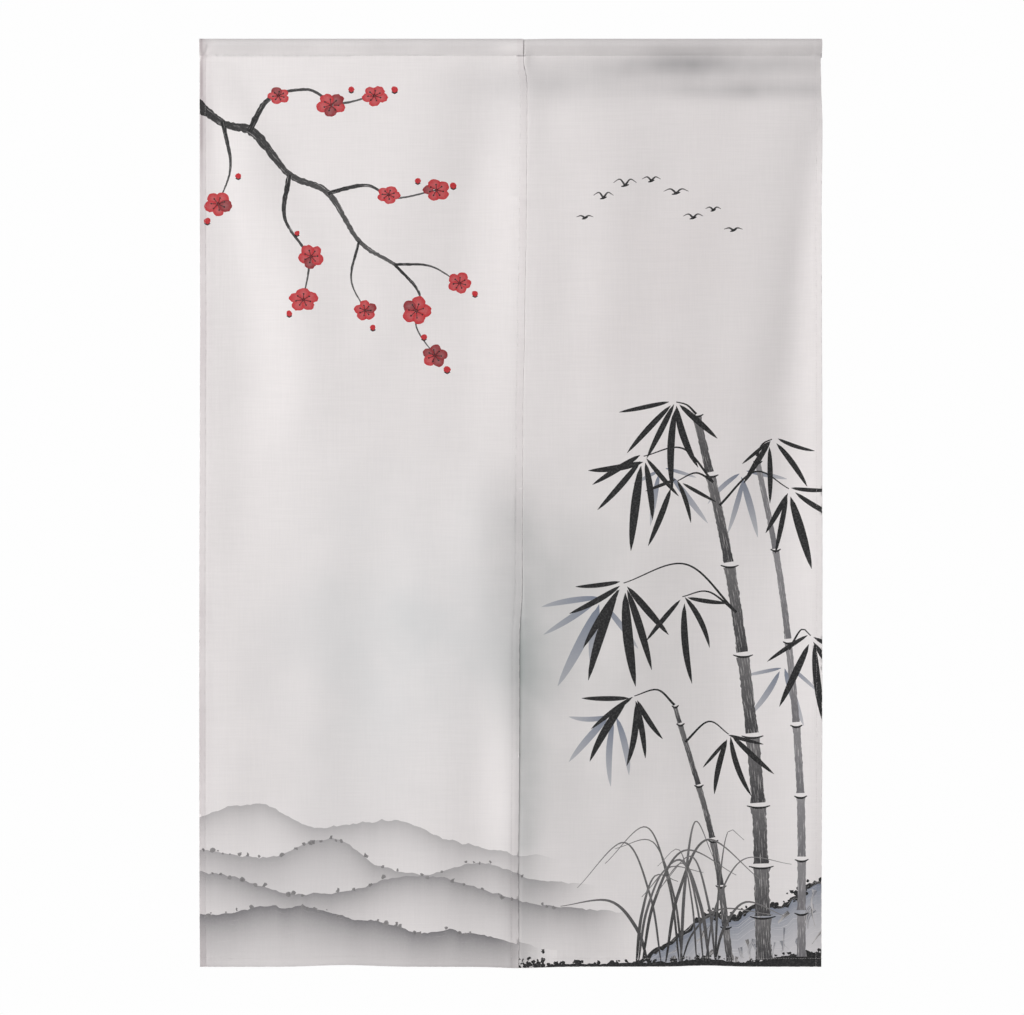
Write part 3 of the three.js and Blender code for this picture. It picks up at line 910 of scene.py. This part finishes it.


def wash_and_painted_light_at(side, x, z):
    """The mixed colour and density of the soft washes on a cloth, painted shade and light among them."""
    left, right = cloth_sides(side, z)
    rows = [
        (row["tint"], row["density"] * bell(x - row["x"], row["wide"]) * bell(z - row["z"], row["tall"]))
        for row in WASHES_AND_PAINTED_LIGHT
        if row.get("side", side) == side
    ]
    edge_in = np.minimum(x - left, right - x)
    near_left = x - left < right - x
    nearest = ("outer_left", "slit") if side < 0 else ("slit", "outer_right")

    def tone(part):
        return np.where(near_left, *(EDGE_SHADES[edge][part] for edge in nearest))

    # Painted shade of each doubled hem, spreading into the single cloth at the left edge
    hem_alone = smooth((SIDE_HEM + HEM_TONE_PAST - edge_in) / HEM_TONE_EASE)
    hem_shade_share = mix(hem_alone, smooth((SPREAD_REACH - edge_in) / SPREAD_EASE), tone("spread"))
    rows.append((HEM_SHADE_TINT, tone("hem") * hem_shade_share))
    # A darker line close to the edge: painted shade where the edge turns back, and soil
    less_low_down = mix(EDGE_LINE_HIGH, EDGE_LINE_LOW, smooth((-z - EDGE_LINE_DROP) / EDGE_LINE_EASE))
    rows.append((SHADE_AND_SOIL_TINT, less_low_down * tone("shade_and_soil") * bell(edge_in - EDGE_LINE_IN, EDGE_LINE_WIDTH)))
    if side < 0:
        # Painted shade in the groove of the slit hem's stitch line, fuller low down
        seam = SEAM_DENSITY * bell(right - x - SLIT_HEM + SEAM_PAST, SEAM_WIDTH)
        begun = SEAM_FIRST_SHARE * smooth((-z - SEAM_STARTS) / SEAM_TONE_EASE)
        more_low_down = mix(begun, 1, smooth((-z - SEAM_FULL) / SEAM_TONE_EASE))
        rows.append((SHADE_AND_SOIL_TINT, seam * more_low_down))
    # Darker along the foot of the cloth
    rows.append((SHADE_AND_SOIL_TINT, FOOT_DENSITY * smooth((FOOT_HEIGHT - (z - hemline_at(x))) / FOOT_HEIGHT)))
    # Painted shade on the heading
    heading = smooth((z - STITCH_Z + HEADING_EASE / 2) / HEADING_EASE)
    rows.append((HEADING_SHADE_TINT, heading * np.interp(z, HEADING_Z, HEADING_SHADE_DENSITY)))
    colour = np.zeros((len(x), 3))
    clear = np.ones(len(x))
    for tint, density in rows:
        colour += (clear * density)[:, None] * np.array(tint)
        clear = clear * (1 - density)
    density = 1 - clear
    return np.column_stack([colour / np.maximum(density, 1e-6)[:, None], density])


# The cloth's finish, shared by every cloth piece: off-white plain weave with slubs, whose
# front takes the print full strength and whose back shows it as a pale ghost.
WEAVE_PITCH = 0.9 * MM
WARP_SLUBS, WEFT_SLUBS = (620, 200, 26), (22, 200, 560)  # how finely they vary along x, y and z


def new_group(name, inputs, outputs):
    """A node group with named sockets. Each row is a name and a socket type."""
    group = bpy.data.node_groups.new(name, "ShaderNodeTree")
    for label, kind in inputs:
        group.interface.new_socket(name=label, in_out="INPUT", socket_type=kind)
    for label, kind in outputs:
        group.interface.new_socket(name=label, in_out="OUTPUT", socket_type=kind)
    return group, group.nodes.new("NodeGroupInput"), group.nodes.new("NodeGroupOutput")


def maths(tree, operation, first, second=0.0):
    return add_node(tree, "ShaderNodeMath", {0: first, 1: second}, operation=operation).outputs[0]


def remap(tree, value, low, high, new_low, new_high):
    rows = {"Value": value, "From Min": low, "From Max": high, "To Min": new_low, "To Max": new_high}
    return add_node(tree, "ShaderNodeMapRange", rows, interpolation_type="SMOOTHSTEP").outputs[0]


def blend_colours(tree, share, under, over):
    rows = {0: share, 6: under, 7: over}
    return add_node(tree, "ShaderNodeMix", rows, data_type="RGBA").outputs[2]


def noise(tree, place, scale, detail=2.0, roughness=0.5):
    rows = {"Vector": place, "Scale": scale, "Detail": detail, "Roughness": roughness}
    return add_node(tree, "ShaderNodeTexNoise", rows).outputs[0]


def stretched(tree, place, factors):
    rows = {0: place, 1: factors}
    return add_node(tree, "ShaderNodeVectorMath", rows, operation="MULTIPLY").outputs[0]


def scaled(tree, colour, factor):
    rows = {0: colour, "Scale": factor}
    return add_node(tree, "ShaderNodeVectorMath", rows, operation="SCALE").outputs[0]


def bumped(tree, height, strength, distance):
    rows = {"Height": height, "Strength": strength, "Distance": distance}
    return add_node(tree, "ShaderNodeBump", rows).outputs[0]


def make_weave_group():
    """Plain weave over a hanging cloth: yarns that pass over and under, some of them thicker."""
    tree, _, out = new_group("plain_weave", (), (("Slub", "NodeSocketFloat"), ("Height", "NodeSocketFloat")))
    place = add_node(tree, "ShaderNodeTexCoord").outputs["Object"]
    axes = add_node(tree, "ShaderNodeSeparateXYZ", {0: place})
    turn = math.pi / WEAVE_PITCH
    waves = [maths(tree, "SINE", maths(tree, "MULTIPLY", axes.outputs[i], turn)) for i in (0, 2)]
    weave = maths(tree, "MULTIPLY", *waves)
    warp_slub = noise(tree, stretched(tree, place, WARP_SLUBS), 1.0, 1.0)
    weft_slub = noise(tree, stretched(tree, place, WEFT_SLUBS), 1.0, 1.0)
    slub = maths(tree, "ADD", warp_slub, weft_slub)
    height = maths(tree, "ADD", maths(tree, "MULTIPLY", weave, 0.35), maths(tree, "MULTIPLY", slub, 0.8))
    tree.links.new(slub, out.inputs["Slub"])
    tree.links.new(height, out.inputs["Height"])
    return tree


def make_print_and_light_group():
    """The dye in the cloth and the painted shade and light: soft washes first, then the cut brush strokes
    with dry streaks.
    """
    tree, given, out = new_group(
        "print_and_painted_light",
        (("Cloth", "NodeSocketColor"), ("Strength", "NodeSocketFloat")),
        (("Colour", "NodeSocketColor"), ("Ink", "NodeSocketFloat")),
    )
    place = add_node(tree, "ShaderNodeTexCoord").outputs["Object"]
    # The soft washes, with the painted shade and painted light among them
    wash = add_node(tree, "ShaderNodeAttribute", attribute_name="wash")
    cloudy = remap(tree, noise(tree, place, 7.0, 3.0), 0.3, 0.7, 0.6, 1.4)
    soaked = remap(tree, given.outputs["Strength"], 0.0, 1.0, 0.35, 1.0)
    wash_share = maths(tree, "MULTIPLY", maths(tree, "MULTIPLY", wash.outputs["Alpha"], cloudy), soaked)
    washed = blend_colours(tree, wash_share, given.outputs["Cloth"], wash.outputs["Color"])
    ink = add_node(tree, "ShaderNodeAttribute", attribute_name="ink")
    brush = add_node(tree, "ShaderNodeAttribute", attribute_name="brush")
    parts = add_node(tree, "ShaderNodeSeparateXYZ", {0: brush.outputs["Vector"]})
    streak_place = stretched(tree, brush.outputs["Vector"], (0.045, 0.85, 0.0))
    streaks = noise(tree, streak_place, 1.0, 3.0, 0.6)
    dry = parts.outputs[2]
    edge = maths(tree, "MULTIPLY", dry, 0.62)
    kept = maths(tree, "SUBTRACT", streaks, edge)
    wet = remap(tree, kept, 0.06, 0.16, 0.55, 1.0)
    grain = remap(tree, noise(tree, place, 420.0, 2.0), 0.25, 0.6, 0.955, 1.0)
    dense = maths(tree, "MULTIPLY", maths(tree, "MULTIPLY", ink.outputs["Alpha"], wet), grain)
    share = maths(tree, "MULTIPLY", dense, given.outputs["Strength"])
    tree.links.new(blend_colours(tree, share, washed, ink.outputs["Color"]), out.inputs["Colour"])
    tree.links.new(share, out.inputs["Ink"])
    return tree


plain_weave = make_weave_group()
print_and_painted_light = make_print_and_light_group()


def make_cloth_material(name, cloth_colour, strength=None):
    """Woven cloth, with as much of the print and its washes of painted shade and light as is asked for, or
    none where it is left out.
    """
    material = bpy.data.materials.new(name)
    material.use_nodes = True
    tree = material.node_tree
    shader = tree.nodes["Principled BSDF"]
    weave = add_node(tree, "ShaderNodeGroup", node_tree=plain_weave)
    tone = remap(tree, weave.outputs["Slub"], 0.6, 1.4, 0.978, 1.018)
    lit = scaled(tree, cloth_colour, tone)
    shader.inputs["Roughness"].default_value = 0.92
    if strength is None:
        tree.links.new(lit, shader.inputs["Base Color"])
    else:
        dyed = add_node(tree, "ShaderNodeGroup", node_tree=print_and_painted_light)
        tree.links.new(lit, dyed.inputs["Cloth"])
        dyed.inputs["Strength"].default_value = strength
        rough = remap(tree, dyed.outputs["Ink"], 0.0, 1.0, 0.92, 0.78)
        tree.links.new(dyed.outputs["Colour"], shader.inputs["Base Color"])
        tree.links.new(rough, shader.inputs["Roughness"])
    tree.links.new(bumped(tree, weave.outputs["Height"], 0.3, 0.12 * MM), shader.inputs["Normal"])
    shader.inputs["Sheen Weight"].default_value = 0.08
    shader.inputs["Sheen Roughness"].default_value = 0.5
    shader.inputs["Specular IOR Level"].default_value = 0.25
    return material


CLOTH_COLOUR = (0.80, 0.765, 0.765)
printed_front_and_painted_light = make_cloth_material("printed_front_and_painted_light", CLOTH_COLOUR, 1.0)
ghost_back = make_cloth_material("ghost_back", CLOTH_COLOUR, 0.2)


# The two cloths themselves. Each runs from its bottom hem up to the stitch line, over the
# rod's place and down the back again, in one piece, as the real one is sewn.
CLOTH_THICKNESS = 0.26
GRID = 8.0
SLIT_COLUMNS = (-1.5, -0.3, 0.1, 0.4, 0.8, 1.4, 2.4, 3.8, 5.6, 8)  # of points beside the left cloth's edge


def spaced(start, end, step):
    return list(np.linspace(start, end, max(2, int(round(abs(end - start) / step)) + 1)))


def cloth_lines():
    """The grid lines of the flat cloth: across its width, and up from hem to pocket."""
    hem_lines = [0, 0.2, 1.2, 2.8, 5, 6.6, 7.4, 8, 8.6, 9.4, 11, 14]
    across = hem_lines + spaced(20, PANEL_WIDTH - 20, GRID) + [PANEL_WIDTH - line for line in hem_lines[::-1]]
    foot = -(DROP + STITCH_Z)
    hem = [foot + rise for rise in (0, 0.2, 1.5, 4, 8, 10.6, 11.4, 12, 12.6, 13.4, 16)]
    body = spaced(foot + 23, -12, GRID)
    stitch = [-8, -5, -3, -1.6, -0.8, 0]
    pocket = spaced(1.4, POCKET_GIRTH, 1.6)
    turning = [POCKET_GIRTH + past for past in (0.8, 1.6, POCKET_TURNING)]
    return np.array(across, float), np.array(hem + body + stitch + pocket + turning, float)


def is_inside(points, ring):
    """Whether each point lies in a closed outline, which may run over itself."""
    px, py = points[:, 0, None], points[:, 1, None]
    (ax, ay), (bx, by) = ring.T, np.roll(ring, -1, axis=0).T
    crossing = (ay <= py) != (by <= py)
    reach = ax + (py - ay) / np.where(by == ay, 1, by - ay) * (bx - ax)
    return np.where(crossing & (reach > px), np.sign(by - ay), 0).sum(axis=1) != 0


def cut_cloth(side, strokes):
    """Triangles of the flat cloth, cut along the outline of every stroke."""
    across, up = cloth_lines()
    left, right = cloth_sides(side, edge_level(up))
    grid_x = left[:, None] + (right - left)[:, None] * across / PANEL_WIDTH
    grid_up = np.repeat(up[:, None], len(across), axis=1)
    grid = np.stack([grid_x, grid_up], axis=2)
    rim = np.vstack([grid[0], grid[1:, -1], grid[-1, -2::-1], grid[-2:0:-1, 0]])
    points, edges = [rim], []

    def add_ring(start, count):
        edges.extend((start + i, start + (i + 1) % count) for i in range(count))

    add_ring(0, len(rim))
    total = len(rim)
    low, high = rim.min(axis=0), rim.max(axis=0)
    for stroke in strokes:
        outline = stroke.outline
        if (outline.max(axis=0) < low).any() or (outline.min(axis=0) > high).any():
            continue
        add_ring(total, len(outline))
        points.append(outline)
        total += len(outline)
    points.append(grid[1:-1, 1:-1].reshape(-1, 2))
    if side > 0:
        slit_x = edge_at(edge_level(up), "slit_x")
        points += [np.column_stack([slit_x + past, up])[1:-1] for past in SLIT_COLUMNS]
    flat = [tuple(point) for point in np.vstack(points)]
    verts, _, faces, *_ = delaunay_2d_cdt(flat, edges, [], 0, 0.02, False)
    verts, faces = np.array([tuple(v) for v in verts]), np.array(faces)
    middles = verts[faces].mean(axis=1)
    kept = is_inside(middles, rim)
    return verts, faces[kept], middles[kept]


def to_flat(strokes):
    """Moves strokes that were placed by height into the flat cloth's own plane."""
    for stroke in strokes:
        for part in ("outline", "line", "crest", "centre"):
            if hasattr(stroke, part):
                setattr(stroke, part, getattr(stroke, part) - (0, STITCH_Z))


to_flat(far_hills + left_only + right_only)


def make_cloth(name, side, strokes):
    """One hanging cloth as a mesh, with its print and its painted shade and light laid in as attributes."""
    verts, faces, middles = cut_cloth(side, strokes)
    owner = np.full(len(faces), -1)
    for number, stroke in enumerate(strokes):
        low, high = stroke.outline.min(axis=0), stroke.outline.max(axis=0)
        near = np.flatnonzero(((middles > low) & (middles < high)).all(axis=1))
        if len(near):
            owner[near[is_inside(middles[near], stroke.outline)]] = number
    ink = np.zeros((len(faces), 3, 4))
    brush = np.zeros((len(faces), 3, 3))
    for number in np.unique(owner[owner >= 0]):
        stroke, mine = strokes[number], np.flatnonzero(owner == number)
        density, along, across = stroke.lay(verts[faces[mine]].reshape(-1, 2))
        ink[mine, :, :3] = stroke.ink
        ink[mine, :, 3] = density.reshape(-1, 3)
        brush[mine, :, 0] = along.reshape(-1, 3) + 137 * number
        brush[mine, :, 1] = across.reshape(-1, 3)
        brush[mine, :, 2] = stroke.dry

    used, faces = np.unique(faces, return_inverse=True)
    faces = faces.reshape(-1, 3)
    flat = verts[used]
    places = cloth_place(side, flat[:, 0], flat[:, 1])
    mesh = bpy.data.meshes.new(name)
    mesh.from_pydata((places * MM).tolist(), [], faces.tolist())
    mesh.attributes.new("ink", "FLOAT_COLOR", "CORNER").data.foreach_set("color", ink.ravel())
    mesh.attributes.new("brush", "FLOAT_VECTOR", "CORNER").data.foreach_set("vector", brush.ravel())
    wash = wash_and_painted_light_at(side, flat[:, 0], places[:, 2])
    mesh.attributes.new("wash", "FLOAT_COLOR", "POINT").data.foreach_set("color", wash.ravel())
    mesh.shade_smooth()
    mesh.materials.append(printed_front_and_painted_light)
    mesh.materials.append(ghost_back)
    cloth = bpy.data.objects.new(name, mesh)
    bpy.context.scene.collection.objects.link(cloth)
    thickness = cloth.modifiers.new("thickness", "SOLIDIFY")
    thickness.thickness = CLOTH_THICKNESS * MM
    thickness.offset = 0
    thickness.material_offset = 1
    return cloth


cloth_left = make_cloth("cloth_left", -1, far_hills + left_only)
cloth_right = make_cloth("cloth_right", 1, far_hills + right_only)


# The hems. The cloth's edges are turned to the back twice, pressed flat and stitched down,
# narrow at the sides and a little wider at the foot. Each is a folded strip that wraps the
# cloth's edge and lies on its back, and the side hems also run round inside the pocket.
HEM_FOLD = (  # section: distance in from the edge, and behind the middle of the cloth
    (0.35, -0.135), (0.0, -0.12), (-0.16, -0.02), (-0.2, 0.18), (-0.14, 0.37), (0.1, 0.49), (1.6, 0.54),
    (-2.0, 0.53), (-0.45, 0.46), (0.0, 0.33), (-0.45, 0.2), (-2.0, 0.14), (1.6, 0.13), (0.35, 0.11),
)
HEM_FOLD_INNER = slice(7, 12)  # the rows measured from the strip's inner edge
CLOTH_FOOT = -(DROP + STITCH_Z)


def edge_point(side, edge, along, inwards):
    """A place near one edge of the flat cloth, and where it hangs."""
    if edge == "foot":
        return cloth_place(side, along, CLOTH_FOOT + inwards)
    left, right = cloth_sides(side, edge_level(along))
    x = left + inwards if edge == "left" else right - inwards
    return cloth_place(side, x, along)


def edge_normals(side, edge, along, inwards):
    """The way out of the cloth's back, at places near one of its edges."""
    step = 0.4
    run = edge_point(side, edge, along + step, inwards) - edge_point(side, edge, along - step, inwards)
    over = edge_point(side, edge, along, inwards + step) - edge_point(side, edge, along, inwards - step)
    out = np.cross(run, over)
    out /= np.maximum(np.linalg.norm(out, axis=1, keepdims=True), 1e-9)
    return out if edge == "left" else -out


def add_mesh(name, places, faces, material):
    """A piece of the curtain from its points in millimetres, riding where the cloth hangs."""
    mesh = bpy.data.meshes.new(name)
    mesh.from_pydata((np.asarray(places) * MM).tolist(), [], faces)
    shape = bmesh.new()
    shape.from_mesh(mesh)
    bmesh.ops.recalc_face_normals(shape, faces=shape.faces)
    shape.to_mesh(mesh)
    shape.free()
    mesh.shade_smooth()
    mesh.materials.append(material)
    piece = bpy.data.objects.new(name, mesh)
    bpy.context.scene.collection.objects.link(piece)
    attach(piece, "root")
    return piece


def make_hem(name, side, edge, start, end, width, step=5.0):
    """One hem, lofted along its edge from the fold's section."""
    stations = np.linspace(start, end, max(3, int(abs(end - start) / step)))
    section = np.array(HEM_FOLD)
    wander = 1 + 0.03 * np.sin(stations / 37) + 0.02 * np.sin(stations / 11 + 1)
    rings = []
    for number, (inwards, behind) in enumerate(section):
        inner = number in range(*HEM_FOLD_INNER.indices(len(section)))
        distance = width * wander + inwards if inner else np.full(len(stations), inwards)
        out = edge_normals(side, edge, stations, distance)
        rings.append(edge_point(side, edge, stations, distance) + behind * out)
    places = np.stack(rings, axis=1).reshape(-1, 3)
    size = len(section)
    faces = [tuple(range(size)), tuple(range(len(places) - 1, len(places) - size - 1, -1))]
    for i in range(len(stations) - 1):
        for k in range(size):
            a, b = i * size + k, i * size + (k + 1) % size
            faces.append((a, a + size, b + size, b))
    return add_mesh(name, places, faces, hem_cloth)


hem_cloth = make_cloth_material("hem_cloth", (0.79, 0.755, 0.755))
POCKET_CLEAR = 3.0  # the side hems stop short of the stitch line, inside the pocket


def hem_width(side, edge):
    return SLIT_HEM if (side < 0) == (edge == "right") else SIDE_HEM


def make_hems(side, label):
    left, right = (float(edge[0]) for edge in cloth_sides(side, np.array([-float(DROP)])))
    hems = [make_hem(f"hem_foot_{label}", side, "foot", left + 0.1, right - 0.1, BOTTOM_HEM)]
    for edge in ("left", "right"):
        low, high = CLOTH_FOOT + BOTTOM_HEM - 0.6, -0.6
        width = hem_width(side, edge)
        hems.append(make_hem(f"hem_{edge}_{label}", side, edge, low, high, width))
        name = f"pocket_hem_{edge}_{label}"
        hems.append(make_hem(name, side, edge, POCKET_CLEAR, POCKET_GIRTH - POCKET_CLEAR, width, step=1.6))
    return hems


hems_left = make_hems(-1, "left")
hems_right = make_hems(1, "right")
for cloth, hems, nodes in (
    (cloth_left, hems_left, ("panel_left", "sleeve_left")),
    (cloth_right, hems_right, ("panel_right", "sleeve_right")),
):
    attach(cloth, "root")
    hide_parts(*nodes)


# The sewing. Lockstitch in fine polyester thread holds the pocket and the hems, one row a
# millimetre in from each fold, and one row along the foot of both pockets.
STITCH_PITCH = 3.1
STITCH_LENGTH = 2.5
THREAD_RADIUS = 0.13
STITCH_RISE = 0.1
FRONT_SKIN = -(CLOTH_THICKNESS / 2 + 0.02)
HEM_SKIN = 0.5


def thread_material(name, colour):
    """Twisted matt thread: a fine slant of light and dark along each stitch."""
    material = bpy.data.materials.new(name)
    material.use_nodes = True
    tree = material.node_tree
    shader = tree.nodes["Principled BSDF"]
    place = add_node(tree, "ShaderNodeTexCoord").outputs["Object"]
    twist = noise(tree, stretched(tree, place, (3200, 3200, 2400)), 1.0, 1.0)
    tone = remap(tree, twist, 0.3, 0.7, 0.82, 1.1)
    tree.links.new(scaled(tree, colour, tone), shader.inputs["Base Color"])
    tree.links.new(bumped(tree, twist, 0.4, 0.1 * MM), shader.inputs["Normal"])
    shader.inputs["Roughness"].default_value = 0.7
    shader.inputs["Sheen Weight"].default_value = 0.15
    return material


pale_thread = thread_material("pale_thread", (0.66, 0.625, 0.63))

THREAD_SIDES = 5
STITCH_RINGS = ((-0.5, 0.25, -0.6), (-0.34, 0.9, 0.35), (0.0, 1.0, 1.0), (0.34, 0.9, 0.35), (0.5, 0.25, -0.6))


def add_stitches(piece, middles, runs, outs, length, radius, rise):
    """Adds one short length of thread for each place, its ends dipping into the cloth."""
    places, faces = piece
    runs = runs / np.linalg.norm(runs, axis=1, keepdims=True)
    across = np.cross(outs, runs)
    angles = np.arange(THREAD_SIDES) * 2 * np.pi / THREAD_SIDES
    first = sum(len(block) for block in places)
    rings = []
    for along, girth, lift in STITCH_RINGS:
        spine = middles + runs * (along * length) + outs * (lift * rise)
        for angle in angles:
            rings.append(spine + radius * girth * (math.cos(angle) * across + math.sin(angle) * outs))
    block = np.stack(rings, axis=1)
    places.append(block.reshape(-1, 3))
    size = block.shape[1]
    for number in range(len(middles)):
        base = first + number * size
        for ring in range(len(STITCH_RINGS) - 1):
            for k in range(THREAD_SIDES):
                a, b = base + ring * THREAD_SIDES + k, base + ring * THREAD_SIDES + (k + 1) % THREAD_SIDES
                faces.append((a, b, b + THREAD_SIDES, a + THREAD_SIDES))
        faces.append(tuple(range(base + THREAD_SIDES - 1, base - 1, -1)))
        last = base + (len(STITCH_RINGS) - 1) * THREAD_SIDES
        faces.append(tuple(range(last, last + THREAD_SIDES)))


def sew_row(piece, side, edge, start, end, inwards, dice):
    """A row of stitches along an edge, seen on the front and again on the hem behind."""
    count = int(abs(end - start) / STITCH_PITCH)
    along = np.linspace(start, end, count) + dice.normal(0, 0.12, count)
    distance = inwards + dice.normal(0, 0.1, count)
    middles = edge_point(side, edge, along, distance)
    runs = edge_point(side, edge, along + 0.5, distance) - edge_point(side, edge, along - 0.5, distance)
    outs = edge_normals(side, edge, along, distance)
    for skin, way in ((FRONT_SKIN, -1), (HEM_SKIN, 1)):
        places = middles + outs * skin + runs * (0.5 * STITCH_PITCH * (way > 0))
        add_stitches(piece, places, runs, outs * way, STITCH_LENGTH, THREAD_RADIUS, STITCH_RISE)


def sew_cloth(side, label):
    """All the rows of one cloth, in one piece."""
    dice = np.random.default_rng(70 + side)
    piece = ([], [])
    low, high = CLOTH_FOOT + 2, -2
    for edge in ("left", "right"):
        sew_row(piece, side, edge, low, high, hem_width(side, edge) - 1, dice)
    left, right = (float(edge[0]) for edge in cloth_sides(side, np.array([-float(DROP)])))
    sew_row(piece, side, "foot", left + 1.5, right - 1.5, BOTTOM_HEM - 1.2, dice)

    left, right = (float(edge[0]) for edge in cloth_sides(side, np.array([float(STITCH_Z)])))
    if side > 0:
        left = LEFT_POCKET_END_X + 3.5
    count = int((right - left - 3) / STITCH_PITCH)
    x = np.linspace(left + 1.5, right - 1.5, count) + dice.normal(0, 0.12, count)
    up = dice.normal(0, 0.1, count) + 0.1
    middles = cloth_place(side, x, np.minimum(up, 0) - 0.15)
    runs = np.tile((1.0, 0.0, 0.0), (count, 1))
    outs = np.tile((0.0, -1.0, 0.0), (count, 1))
    add_stitches(piece, middles - outs * FRONT_SKIN, runs, outs, STITCH_LENGTH, THREAD_RADIUS, STITCH_RISE)
    behind = cloth_place(side, x, np.full(count, POCKET_GIRTH + 0.3))
    add_stitches(piece, behind + outs * FRONT_SKIN, runs, -outs, STITCH_LENGTH, THREAD_RADIUS, STITCH_RISE)
    return add_mesh(f"sewing_{label}", np.vstack(piece[0]), piece[1], pale_thread)


sewing_left = sew_cloth(-1, "left")
sewing_right = sew_cloth(1, "right")


# The bar tack. A short row of close upright stitches in the same thread, darker with
# handling, holds the two cloths together at the top of the slit.
TACK_START_X, TACK_END_X = 7.2, 18.6
TACK_PITCH = 0.42
TACK_HEIGHT = 4.6
TACK_RADIUS, TACK_RISE = 0.2, 0.16


dark_thread = thread_material("dark_thread", (0.60, 0.57, 0.575))


def make_bar_tack():
    """Close upright stitches over the end of the left pocket's seam."""
    dice = np.random.default_rng(90)
    count = int((TACK_END_X - TACK_START_X) / TACK_PITCH)
    x = np.linspace(TACK_START_X, TACK_END_X, count)
    on_left = cloth_place(-1, x, np.full(count, -0.2))
    on_right = cloth_place(1, x, np.full(count, -0.2))
    middles = np.where((x < LEFT_POCKET_END_X)[:, None], on_left, on_right)
    middles[:, 1] += FRONT_SKIN - 0.05
    middles[:, 2] = STITCH_Z + 0.2 + dice.normal(0, 0.08, count)
    runs = np.column_stack([dice.normal(0, 0.1, count), np.zeros(count), np.ones(count)])
    outs = np.tile((0.0, -1.0, 0.0), (count, 1))
    piece = ([], [])
    add_stitches(piece, middles, runs, outs, TACK_HEIGHT, TACK_RADIUS, TACK_RISE)
    return add_mesh("bar_tack", np.vstack(piece[0]), piece[1], dark_thread)


bar_tack = make_bar_tack()
